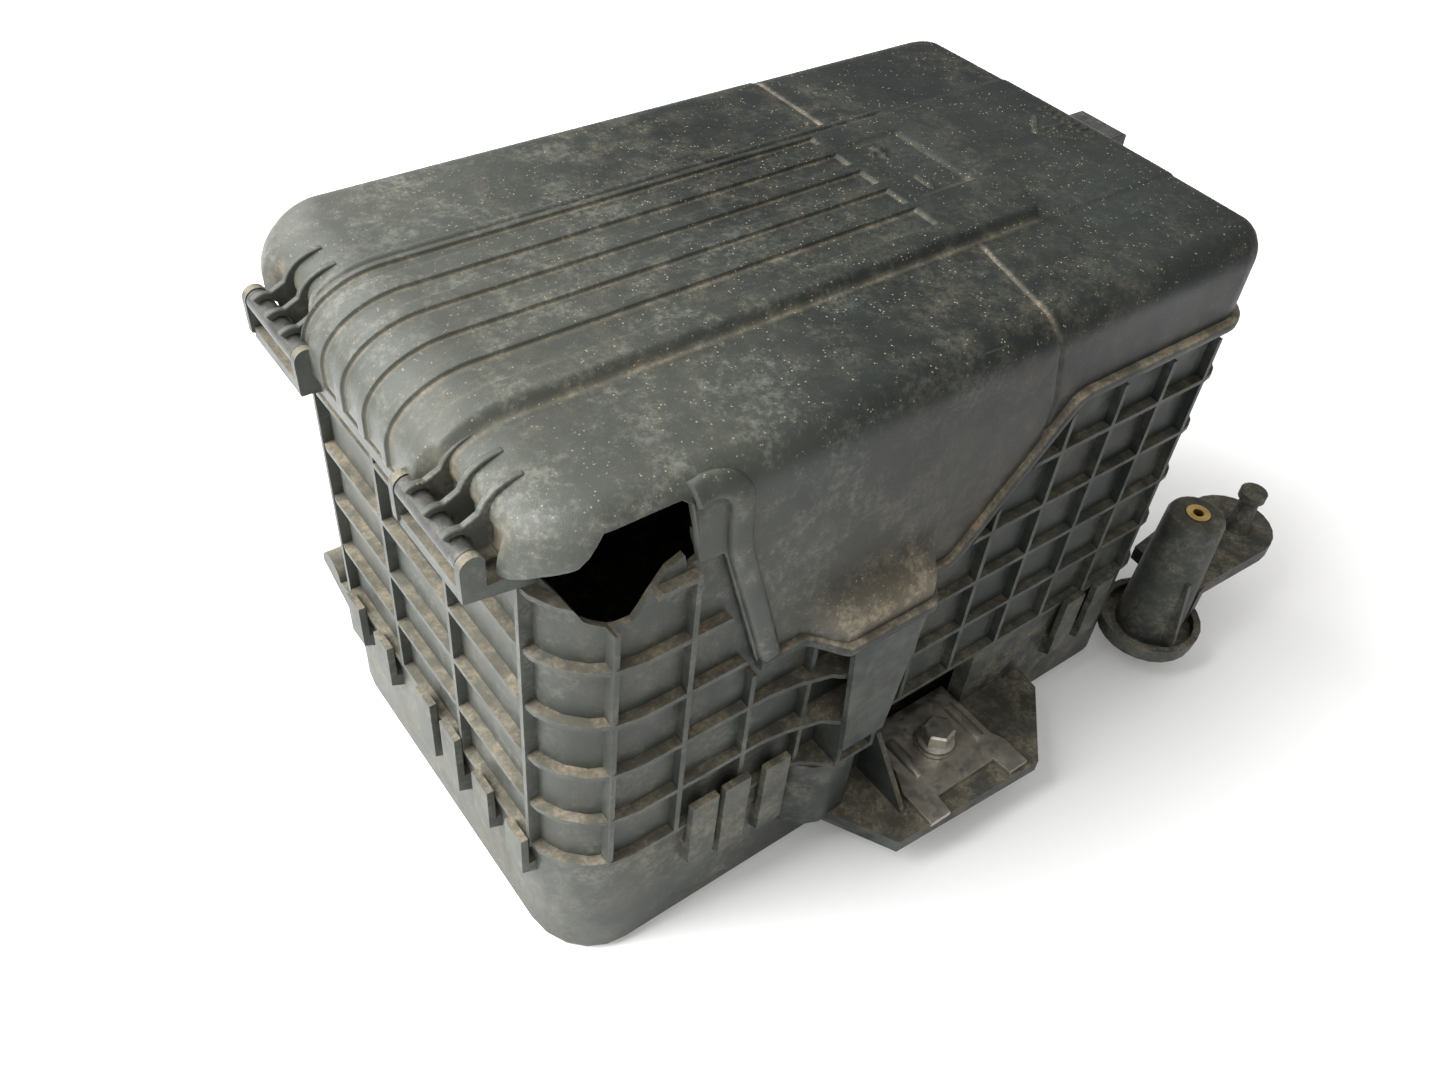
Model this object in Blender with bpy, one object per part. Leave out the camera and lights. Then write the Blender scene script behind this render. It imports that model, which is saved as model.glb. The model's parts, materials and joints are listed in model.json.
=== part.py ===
"""Car battery box: floor tray, ribbed surround, hinged lid, spring latch and bolted battery clamp.

Metres, +Z up.  X runs along the box from the hinge end (-X) to the latch end (+X), and -Y is the long side
that carries the clamp foot.  The origin is at the middle of the tray's underside.
"""

from math import cos, radians, sin, sqrt

import bmesh
import bpy

MM = 0.001

# ---- driving dimensions, in millimetres -------------------------------------------------------------------
BOX_LENGTH = 319.0        # over the rib faces, hinge end to latch end
BOX_WIDTH = 202.0         # over the rib faces
TRAY_HEIGHT = 66.0        # floor to the shoulder that the surround stands on
SURROUND_TOP = 222.0      # top edge of the surround, under the lid
LID_TOP = 244.0
LID_SKIRT = 201.5         # lower edge of the lid on three sides
WALL = 2.5                # moulded wall of surround and lid
TRAY_WALL = 3.0
FLOOR = 4.0
RIB_DEPTH = 4.0
RIB_THICK = 2.2
ROW_PITCH = 27.5          # between level ribs
COLUMN_PITCH = 28.4       # between upright ribs on the long sides
END_PITCH = 50.0          # between upright ribs on the ends
COLUMN_MARGIN = 15.3      # from the rib face at the latch end to the nearest upright rib
HINGE_CORNER = 26.0       # plan radius of the wall at the hinge end
LATCH_CORNER = 10.0       # plan radius of the wall at the latch end
FIT = 0.5                 # clearance between nested mouldings
TOUCH = 0.3               # gap left between pieces that rest on each other

LID_OVERHANG = 13.5       # lid end beyond the surround wall at the hinge
LID_END_EDGE = 219.0      # lower edge of the lid over the hinge
LID_ROLL = 27.0           # how far in the lid's rolled top edge reaches at the hinge end
LID_DROP = 17.0           # how far down it reaches there
LID_EDGE = 13.0           # radius of its other top edges
LIP = 3.0                 # how far the lid's lower lip stands out
LIP_HEIGHT = 5.5
FLAP_BOTTOM = 143.5       # lower edge of the deep flap on the clamp side
PLATEAU_RISE = 4.0
PLATEAU_SIDES = (-50.0, 42.0)
PLATEAU_END = 80.0
FLAP_START = 53.5                 # from the wall's hinge end to the top of the flap's first slanted side
FLAP_TURN = 74.5                  # from the same place to its lower edge
FLAP_END = 9.0                    # end of its lower edge, in x
FLAP_RIGHT = 58.0                 # top of its second slanted side, in x
BLADE_OUT = 14.0                  # how far the blade beside the clamp stands out of the wall
BLADE_THICK = 2.5
# Edges of the cable outlet as (distance from the wall's hinge end, height): in the surround, then in the lid.
OUTLET_LOWER = [(-14.5, 216.0), (-2.5, 216.0), (5.5, 205.0), (9.5, 197.0), (16.5, 194.0), (23.5, 195.0),
                (28.5, 203.0), (34.5, 211.0), (40.5, 213.5), (42.0, 207.0), (46.0, 209.5), (43.5, 219.0),
                (41.5, 240.0), (-14.5, 240.0)]
OUTLET_UPPER = [(42.5, 217.0), (42.5, 234.0), (37.5, 238.5), (10.5, 238.5), (7.5, 233.0), (3.5, 228.0)]

HINGE_OUT = 14.5          # from the rib face at the hinge end to the bars' axis
HINGE_Z = 225.0
HINGE_RADIUS = 4.0
HINGE_LENGTH = 36.0
HINGE_CENTRES = {"near": -58.0, "far": 50.0}
HOOK_WALL = 2.4
HOOK_THICK = 2.4
HOOK_PITCH = 11.0

LATCH_WIDTH = 24.0
LATCH_THICK = 2.4
LATCH_ROOT = 155.0
LATCH_TOP = 238.0

FOOT_TOP = 28.3           # seat of the clamp plate
FOOT_THICK = 7.0
FOOT_OUT = 41.0           # how far the foot reaches out of the rib face
FOOT_SPAN = (-48.0, 88.0)
BOLT_X = 24.0
BOLT_OUT = 9.0
BOLT_RADIUS = 4.0
BOLT_HOLE = 4.5
HEAD_ACROSS = 13.0
PLATE_THICK = 2.5
PLATE_WIDTH = 50.0
CLAMP_IN = 12.5           # how far the clamp's tongue reaches inside the rib face

BOSS_OUT = (11.5, 11.0)   # boss axis beyond the rib faces, latch end and clamp side
BOSS_TOP = 98.0
BOSS_RADII = (16.0, 13.2)
CUP_RADIUS = 25.0
INSERT_RADIUS = 5.6
INSERT_BORE = 2.5
INSERT_LENGTH = 14.0
LUG_OUT = (77.5, 1.0)     # middle of the lug's round end beyond the same faces
LUG_TOP = 49.0
LUG_THICK = 8.0
LUG_RADIUS = 22.0

# Snap fingers of the tray: side, place along it, then lower and upper end below or above the tray's shoulder.
CLIPS = [("near", -101.0, -25.0, 16.0), ("near", -86.0, -32.0, 16.0), ("near", -66.5, -32.0, 14.0),
         ("near", 108.0, -36.0, 4.0), ("near", 128.0, -36.0, 4.0),
         ("hinge", -70.0, -20.0, 6.0), ("hinge", -45.0, -22.0, 6.0), ("hinge", -20.0, -28.0, 10.0),
         ("hinge", 0.0, -28.0, 10.0), ("hinge", 38.0, -22.0, 6.0), ("hinge", 64.0, -22.0, 6.0),
         ("far", -80.0, -28.0, 12.0), ("far", 0.0, -28.0, 12.0), ("far", 80.0, -28.0, 12.0),
         ("latch", -45.0, -24.0, 6.0), ("latch", 45.0, -24.0, 6.0)]
CLIP_WIDTH = 12.0
CLIP_THICK = 3.0

# ---- sizes that follow from them ---------------------------------------------------------------------------
WALL_X = BOX_LENGTH / 2 - RIB_DEPTH          # outer face of the surround wall
WALL_Y = BOX_WIDTH / 2 - RIB_DEPTH
HINGE_X = -BOX_LENGTH / 2 - HINGE_OUT
BOSS_X, BOSS_Y = BOX_LENGTH / 2 + BOSS_OUT[0], -BOX_WIDTH / 2 - BOSS_OUT[1]
LUG_X, LUG_Y = BOX_LENGTH / 2 + LUG_OUT[0], -BOX_WIDTH / 2 - LUG_OUT[1]
BOLT_Y = -BOX_WIDTH / 2 - BOLT_OUT
FOOT_REACH = BOX_WIDTH / 2 + FOOT_OUT
CLAMP_REACH = BOX_WIDTH / 2 - CLAMP_IN
FLAP = [(FLAP_START - WALL_X, 211.0), (FLAP_TURN - WALL_X, FLAP_BOTTOM), (FLAP_END, FLAP_BOTTOM),
        (FLAP_RIGHT, LID_SKIRT)]
TONGUE = 14.0                                # height of the tray rim inside the surround
ROWS = [TRAY_HEIGHT + RIB_THICK / 2 + TOUCH + ROW_PITCH * k for k in range(6)]
LID_X0 = -WALL_X - LID_OVERHANG
LID_X1 = WALL_X + FIT + WALL
LID_Y = WALL_Y + FIT + WALL
PLATE_TOP = FOOT_TOP + TOUCH + PLATE_THICK
WASHER_TOP = PLATE_TOP + TOUCH + 1.6


# ---- modelling helpers -------------------------------------------------------------------------------------
def clear_scene():
    for thing in list(bpy.data.objects):
        bpy.data.objects.remove(thing, do_unlink=True)


def material(name, colour, roughness, metallic=0.0):
    made = bpy.data.materials.new(name)
    made.use_nodes = True
    shader = made.node_tree.nodes["Principled BSDF"]
    shader.inputs["Base Color"].default_value = (*colour, 1.0)
    shader.inputs["Roughness"].default_value = roughness
    shader.inputs["Metallic"].default_value = metallic
    return made


def mesh_object(name, points, faces):
    """A closed mesh object from millimetre points, with its faces turned outwards."""
    mesh = bpy.data.meshes.new(name)
    mesh.from_pydata([(x * MM, y * MM, z * MM) for x, y, z in points], [], faces)
    work = bmesh.new()
    work.from_mesh(mesh)
    bmesh.ops.recalc_face_normals(work, faces=work.faces)
    work.to_mesh(mesh)
    work.free()
    made = bpy.data.objects.new(name, mesh)
    bpy.context.collection.objects.link(made)
    return made


def arc(cx, cy, radius, start, end, steps):
    """Points on a circle from start to end, in degrees, both ends included."""
    angles = [radians(start + (end - start) * k / steps) for k in range(steps + 1)]
    return [(cx + radius * cos(a), cy + radius * sin(a)) for a in angles]


def outline(x0, x1, half_y, corner0, corner1, steps=5):
    """A rounded rectangle in plan, anticlockwise, with its own corner radius at each end."""
    points = arc(x1 - corner1, -half_y + corner1, corner1, -90, 0, steps)
    points += arc(x1 - corner1, half_y - corner1, corner1, 0, 90, steps)
    points += arc(x0 + corner0, half_y - corner0, corner0, 90, 180, steps)
    points += arc(x0 + corner0, -half_y + corner0, corner0, 180, 270, steps)
    return points


def wall_outline(offset):
    """The surround wall's outer face moved out by offset."""
    return outline(-WALL_X - offset, WALL_X + offset, WALL_Y + offset,
                   HINGE_CORNER + offset, LATCH_CORNER + offset)


def stack(name, loops, closed=False):
    """A solid through level loops of equal length: capped at both ends, or closed on itself as a ring."""
    count = len(loops[0][1])
    points = [(x, y, z) for z, loop in loops for x, y in loop]
    faces = []
    pairs = [(k, k + 1) for k in range(len(loops) - 1)]
    if closed:
        pairs.append((len(loops) - 1, 0))
    else:
        faces.append(list(range(count)))
        faces.append([(len(loops) - 1) * count + k for k in range(count)])
    for low, high in pairs:
        for k in range(count):
            after = (k + 1) % count
            faces.append([low * count + k, low * count + after, high * count + after, high * count + k])
    return mesh_object(name, points, faces)


def ring(name, outer, inner, z0, z1):
    return stack(name, [(z0, outer), (z1, outer), (z1, inner), (z0, inner)], closed=True)


def slab(name, loop, z0, z1):
    return stack(name, [(z0, loop), (z1, loop)])


def prism(name, section, start, end, along="Y"):
    """An outline in the XZ plane carried along Y, or in the YZ plane carried along X."""
    count = len(section)
    if along == "Y":
        points = [(a, start, b) for a, b in section] + [(a, end, b) for a, b in section]
    else:
        points = [(start, a, b) for a, b in section] + [(end, a, b) for a, b in section]
    faces = [list(range(count)), [count + k for k in range(count)]]
    faces += [[k, (k + 1) % count, count + (k + 1) % count, count + k] for k in range(count)]
    return mesh_object(name, points, faces)


def block(name, x0, x1, y0, y1, z0, z1):
    return slab(name, [(x0, y0), (x1, y0), (x1, y1), (x0, y1)], z0, z1)


def turned(name, cx, cy, profile, sides=24):
    """A solid turned about an upright axis; the profile is (radius, height) from the bottom to the top."""
    loops = [(z, arc(cx, cy, r, 0, 360 - 360 / sides, sides - 1)) for r, z in profile]
    return stack(name, loops)


def boolean(target, cutters, operation):
    """Applies one exact Boolean of several closed meshes to the target."""
    group = bpy.data.collections.new("cutters")
    bpy.context.scene.collection.children.link(group)
    for cutter in cutters:
        group.objects.link(cutter)
    change = target.modifiers.new("boolean", "BOOLEAN")
    change.solver = "EXACT"
    change.operation = operation
    change.operand_type = "COLLECTION"
    change.collection = group
    bpy.context.view_layer.update()
    shaped = target.evaluated_get(bpy.context.evaluated_depsgraph_get())
    mesh = bpy.data.meshes.new_from_object(shaped)
    target.modifiers.remove(change)
    target.data = mesh
    for cutter in cutters:
        bpy.data.objects.remove(cutter, do_unlink=True)
    bpy.data.collections.remove(group)
    return target


def join(target, pieces):
    return boolean(target, pieces, "UNION")


def cut(target, pieces):
    return boolean(target, pieces, "DIFFERENCE")


def finish(target, finish_material):
    """Merges the slivers that Booleans leave, and gives the piece its material and soft shading."""
    work = bmesh.new()
    work.from_mesh(target.data)
    bmesh.ops.remove_doubles(work, verts=work.verts, dist=0.00001)
    bmesh.ops.dissolve_limit(work, angle_limit=radians(0.5), verts=work.verts, edges=work.edges)
    bmesh.ops.triangulate(work, faces=work.faces)
    work.to_mesh(target.data)
    work.free()
    target.data.materials.clear()
    target.data.materials.append(finish_material)
    target.data.shade_smooth()
    target.data.set_sharp_from_angle(angle=radians(35))
    return target


# ---- tray: floor, skirt, clamp foot, boss and lug in one moulding --------------------------------------------
def foot_outline(inset=0.0):
    """Plan of the clamp foot, inset from its outer edge."""
    root = -WALL_Y + 6
    return [(FOOT_SPAN[0] + inset, root), (FOOT_SPAN[0] + 26 + inset * 0.6, -FOOT_REACH + 4 + inset),
            (FOOT_SPAN[1] - 30 - inset * 0.5, -FOOT_REACH + inset), (FOOT_SPAN[1] - inset, -FOOT_REACH + 30),
            (FOOT_SPAN[1] + 2 - inset, root)]


def clip_finger(side, at, low, high):
    """One upright snap finger on the tray skirt; it stands just outside the surround's ribs."""
    low, high = low + TRAY_HEIGHT, high + TRAY_HEIGHT
    face = RIB_DEPTH + FIT
    root = min(low + (high - low) * 0.35, TRAY_HEIGHT - 5)
    section = [(-2.5, low), (face + CLIP_THICK, low + 5), (face + CLIP_THICK, high), (face, high), (face, root),
               (-2.5, root)]
    ends = at - CLIP_WIDTH / 2, at + CLIP_WIDTH / 2
    if side == "near":
        return prism("finger", [(-WALL_Y - s, z) for s, z in section], *ends, along="X")
    if side == "far":
        return prism("finger", [(WALL_Y + s, z) for s, z in section], *ends, along="X")
    if side == "hinge":
        return prism("finger", [(-WALL_X - s, z) for s, z in section], *ends)
    return prism("finger", [(WALL_X + s, z) for s, z in section], *ends)


def make_tray(plastic):
    skirt = RIB_DEPTH / 2
    bottom_inset = 2.0
    outer_low = wall_outline(skirt - bottom_inset)
    outer = wall_outline(skirt)
    rim_out = wall_outline(-WALL - FIT)
    rim_in = wall_outline(-WALL - FIT - TRAY_WALL)
    tray = stack("tray", [(FLOOR, rim_in), (TRAY_HEIGHT + TONGUE, rim_in), (TRAY_HEIGHT + TONGUE, rim_out),
                          (TRAY_HEIGHT, rim_out), (TRAY_HEIGHT, outer), (5.0, outer), (0.0, outer_low)])
    foot = slab("foot", foot_outline(), FOOT_TOP - FOOT_THICK, FOOT_TOP)
    column = slab("column", [(-58, -WALL_Y + 4), (-55, -WALL_Y - 4), (-49, -WALL_Y - 10), (-42, -WALL_Y - 13),
                             (-30, -WALL_Y - 13), (-24, -WALL_Y - 9), (-20, -WALL_Y + 4)],
                  FOOT_TOP - 3, TRAY_HEIGHT - TOUCH)
    gusset = prism("gusset", [(-WALL_Y + 2, FOOT_TOP - 2), (-FOOT_REACH + 12, FOOT_TOP - 2),
                              (-WALL_Y - 8, TRAY_HEIGHT - 8), (-WALL_Y + 2, TRAY_HEIGHT - 8)], -12, -9.5, "X")
    cup = turned("cup", BOSS_X, BOSS_Y, [(CUP_RADIUS - 1, FOOT_TOP - 8), (CUP_RADIUS, FOOT_TOP + 0.7)])
    cut(cup, [turned("hollow", BOSS_X, BOSS_Y, [(CUP_RADIUS - 3.5, FOOT_TOP - 4), (CUP_RADIUS - 2.5, BOSS_TOP)])])
    riser = slab("riser", [(BOSS_X + 14, BOSS_Y - 12), (BOSS_X + 23, BOSS_Y - 10), (BOSS_X + 23, BOSS_Y + 26),
                           (BOSS_X + 14, BOSS_Y + 22)], FOOT_TOP - 6, LUG_TOP - 2)
    lug = slab("lug", arc(LUG_X, LUG_Y, LUG_RADIUS, -90, 90, 12) + [
        (BOSS_X + 10, LUG_Y + 16), (BOSS_X + 8, LUG_Y - LUG_RADIUS + 2)], LUG_TOP - LUG_THICK, LUG_TOP)
    ear = prism("ear", [(WALL_Y - 24, TRAY_HEIGHT - 28)] + arc(WALL_Y + 3, TRAY_HEIGHT - 10, 9, 0, 180, 8) + [
        (WALL_Y - 24, TRAY_HEIGHT - 6)],
                -WALL_X - 2.5, -WALL_X + 14, "X")
    r0, r1 = BOSS_RADII
    boss = turned("boss", BOSS_X, BOSS_Y, [(r0, FOOT_TOP - 6), (r0, FOOT_TOP), (r1 + 0.4, BOSS_TOP - 3),
                                           (r1 - 0.6, BOSS_TOP - 1), (r1 - 2.6, BOSS_TOP)])
    fin = prism("fin", [(BOSS_Y - CUP_RADIUS + 4, FOOT_TOP - 5), (BOSS_Y, FOOT_TOP - 5), (BOSS_Y, 70),
                        (BOSS_Y - r0 + 1.5, 66)], BOSS_X - 8, BOSS_X - 5.5, "X")
    peg = turned("peg", LUG_X + 2, LUG_Y - 3, [(7.5, LUG_TOP - 2), (7.2, LUG_TOP + 1), (5.4, LUG_TOP + 5),
                                               (5.0, LUG_TOP + 18), (6.8, LUG_TOP + 20), (6.8, LUG_TOP + 24)], 18)
    join(tray, [foot, column, gusset, cup, riser, lug, ear, boss, fin, peg] + [clip_finger(*clip) for clip in CLIPS])
    bay = slab("bay", rim_in, FLOOR, BOSS_TOP + 20)
    bore = turned("bore", BOSS_X, BOSS_Y, [(INSERT_RADIUS + TOUCH, BOSS_TOP - INSERT_LENGTH - 1),
                                           (INSERT_RADIUS + TOUCH, BOSS_TOP + 5)])
    bolt_hole = turned("bolt_hole", BOLT_X, BOLT_Y, [(BOLT_HOLE, -5), (BOLT_HOLE, FOOT_TOP + 5)])
    slot = block("slot", BOLT_X - PLATE_WIDTH / 2 - 1.5, BOLT_X + PLATE_WIDTH / 2 + 1.5,
                 -WALL_Y - 8, -WALL_Y + 14, FOOT_TOP, TRAY_HEIGHT - 4)
    nut_well = slab("nut_well", arc(BOLT_X, BOLT_Y, HEAD_ACROSS / sqrt(3) + TOUCH + 0.2, 0, 300, 5), 0,
                    FOOT_TOP - FOOT_THICK + 3.0)
    return finish(cut(tray, [bore, bolt_hole, slot, nut_well, bay]), plastic)


# ---- surround: the ribbed sleeve ---------------------------------------------------------------------------
def flap_shape(grow=0.0):
    """The flap's lower outline in XZ, grown outwards and closed well above the lid."""
    step_x = FLAP[0][0] - 11 - grow
    return [(step_x - 5, LID_TOP + 20), (step_x - 5, 236.0), (step_x - 0.5, 234.0), (step_x, 217.0 - grow),
            (FLAP[0][0] - grow, FLAP[0][1] - grow), (FLAP[1][0] - grow, FLAP[1][1] - grow),
            (FLAP[2][0] + grow, FLAP[2][1] - grow), (FLAP[3][0] + grow, FLAP[3][1] - grow),
            (WALL_X + 40, LID_SKIRT - grow), (WALL_X + 40, LID_TOP + 20)]


def hood_outline(offset):
    """Plan of the hood that the flap stands out in over the blade."""
    root = -WALL_Y + 1.5
    return [(-60 - offset, root), (-47 - offset, -WALL_Y - BLADE_OUT - offset),
            (-13 + offset, -WALL_Y - BLADE_OUT - offset), (4 + offset, root)]


def blade_and_shelves(low):
    """The flat blade beside the clamp, the level ribs that swell out to it, and its two upright webs."""
    root, face = -WALL_Y + 1, -WALL_Y - BLADE_OUT
    top = FLAP_BOTTOM - 1.0
    half = RIB_THICK / 2
    pieces = [prism("blade", [(-48, top), (-42, ROWS[0] + 12), (-21, ROWS[0] + 12), (-13, top)],
                    face - BLADE_THICK, face)]
    for row, start in zip(ROWS[:3], (-60, -78, -78)):
        plan = [(start, root), (start, -WALL_Y - RIB_DEPTH + 0.5), ((start - 47) / 2, -WALL_Y - RIB_DEPTH - 1.5),
                (-49, -WALL_Y - RIB_DEPTH - 5), (-44, face + 1), (-40, face - 0.5), (-24, face - 0.5),
                (-20, face + 2), (-19, root)]
        pieces.append(slab("shelf", plan, row - half, row + half))
    for x, high in ((-41, ROWS[1]), (-23, ROWS[2] + 6)):
        pieces.append(block("web", x - half, x + half, face - 0.5, root, low, high))
    return pieces


def make_surround(plastic):
    low = TRAY_HEIGHT + TOUCH
    surround = ring("surround", wall_outline(0), wall_outline(-WALL), low, SURROUND_TOP)
    core = wall_outline(-1.0)
    face = wall_outline(RIB_DEPTH)
    rings = [ring("row", face, core, z - RIB_THICK / 2, z + RIB_THICK / 2) for z in ROWS[:5]]
    top_row = ring("top_row", face, core, ROWS[5] - RIB_THICK / 2, ROWS[5] + RIB_THICK / 2)
    cut(top_row, [block("rest", FLAP[0][0] - 10, 400, -300, 300, 150, 250), block("back", -400, 400, -60, 300, 140, 260)])
    columns = [BOX_LENGTH / 2 - COLUMN_MARGIN - COLUMN_PITCH * k for k in range(10)]
    half = RIB_THICK / 2
    top = SURROUND_TOP - 16
    uprights = []
    for x in columns:
        uprights.append(block("column", x - half, x + half, -WALL_Y - RIB_DEPTH, -WALL_Y + 1, low, top))
        uprights.append(block("column", x - half, x + half, WALL_Y - 1, WALL_Y + RIB_DEPTH, low, top))
    for k in range(4):
        y = END_PITCH * (k - 1.5)
        uprights.append(block("column", -WALL_X - RIB_DEPTH, -WALL_X + 1, y - half, y + half, low, top))
        uprights.append(block("column", WALL_X - 1, WALL_X + RIB_DEPTH, y - half, y + half, low, top))
    corner_y = -WALL_Y + HINGE_CORNER
    a = radians(248)
    cx, cy = -WALL_X + HINGE_CORNER + HINGE_CORNER * cos(a), corner_y + HINGE_CORNER * sin(a)
    uprights.append(block("column", cx - half, cx + half, cy - RIB_DEPTH, cy + 1, low, 196))
    ribs = rings[0]
    join(ribs, rings[1:] + [top_row] + uprights)
    flap_room = prism("flap_room", flap_shape(FIT + LIP), -WALL_Y - 20, -WALL_Y + 20)
    skirt_room = block("skirt_room", -WALL_X + HINGE_CORNER, WALL_X + 30, -WALL_Y + 10, WALL_Y + 30,
                       LID_SKIRT - FIT - 1, 300)
    corner_room = block("corner_room", -WALL_X - 30, -WALL_X + HINGE_CORNER + 1, -WALL_Y + 40, WALL_Y + 30,
                        LID_SKIRT - FIT - 1, 300)
    cut(ribs, [flap_room, skirt_room, corner_room])
    rim = prism("rim", [(-WALL_X + 1, LID_END_EDGE - 15), (LID_X0 - 1.5, LID_END_EDGE - 10),
                        (LID_X0 - 2.5, LID_END_EDGE - 2.5), (-WALL_X + 1, LID_END_EDGE - 2.5)],
                -WALL_Y + HINGE_CORNER, WALL_Y - HINGE_CORNER)
    arms = []
    for centre in HINGE_CENTRES.values():
        for end in (-1, 1):
            y = centre + end * (HINGE_LENGTH / 2 + TOUCH)
            seat = LID_END_EDGE - 2.5
            section = [(-WALL_X + 1, seat - 8), (-WALL_X + 1, seat), (LID_X0 - 1.2, seat)]
            section += [(LID_X0 - 1.2, HINGE_Z - 1)]
            section += arc(HINGE_X, HINGE_Z, HINGE_RADIUS + 0.2, 0, 180, 8)[1:]
            section += [(HINGE_X - HINGE_RADIUS, seat - 4)]
            arms.append(prism("arm", section, min(y, y + end * 3), max(y, y + end * 3)))
        arms.append(block("pad", HINGE_X - HINGE_RADIUS + 1, -WALL_X + 1, centre - HINGE_LENGTH / 2 - 1,
                          centre + HINGE_LENGTH / 2 + 1, LID_END_EDGE - 9, LID_END_EDGE - 4.5))
    join(surround, [ribs, rim] + arms + blade_and_shelves(low))
    outlet = prism("outlet", [(x - WALL_X, z) for x, z in OUTLET_LOWER], -WALL_Y - 20, -WALL_Y + HINGE_CORNER - 2)
    cut(surround, [outlet])
    return finish(surround, plastic)


def hinge_bar(name, centre, plastic):
    """The round bar that the lid's hooks turn on, with its moulded flat underneath."""
    flat = -HINGE_RADIUS * 0.75
    turn = [(HINGE_X + HINGE_RADIUS * cos(radians(a)), HINGE_Z + max(HINGE_RADIUS * sin(radians(a)), flat))
            for a in range(0, 360, 15)]
    made = prism(name, turn, centre - HINGE_LENGTH / 2, centre + HINGE_LENGTH / 2)
    return finish(made, plastic)


# ---- lid ---------------------------------------------------------------------------------------------------
def rolled_in(z, top, roll, drop):
    """How far a quarter-ellipse top edge has come in at height z."""
    rise = max(0.0, z - (top - drop)) / drop
    return roll * (1 - sqrt(max(0.0, 1 - rise * rise)))


def lid_level(z, inset):
    """Plan of the lid at one height, with its top edge rolled over."""
    top = LID_TOP - inset
    in_roll = rolled_in(z, top, LID_ROLL - inset, LID_DROP - inset)
    in_edge = rolled_in(z, top, LID_EDGE - inset, LID_EDGE - inset)
    shrink = min(in_edge, LATCH_CORNER * 0.5)
    return z, outline(LID_X0 + inset + in_roll, LID_X1 - inset - in_edge, LID_Y - inset - in_edge,
                      HINGE_CORNER + FIT + WALL - inset - shrink, LATCH_CORNER + FIT + WALL - inset - shrink)


LID_STEPS = (0.0, 0.2, 0.42, 0.62, 0.8, 0.93, 1.0)


def lid_solid(name, inset, bottom):
    top = LID_TOP - inset
    heights = [bottom, top - LID_DROP]
    heights += [top - LID_EDGE + LID_EDGE * step for step in LID_STEPS]
    return stack(name, [lid_level(z, inset) for z in heights])


def lid_hook(y):
    """One hook of the hinge: a gusset from the lid's end and a part ring over the bar."""
    inner = HINGE_RADIUS + 0.5
    outer = inner + HOOK_WALL
    section = arc(HINGE_X, HINGE_Z, outer, 62, 130, 8)
    section += arc(HINGE_X, HINGE_Z, inner, 130, -55, 16)
    section += [(LID_X0 + 1.2, HINGE_Z - 3.5), (LID_X0 + 1.2, HINGE_Z + 5.0), (LID_X0 + 6.5, LID_TOP - 9.0)]
    return prism("hook", section, y - HOOK_THICK / 2, y + HOOK_THICK / 2)


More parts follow.
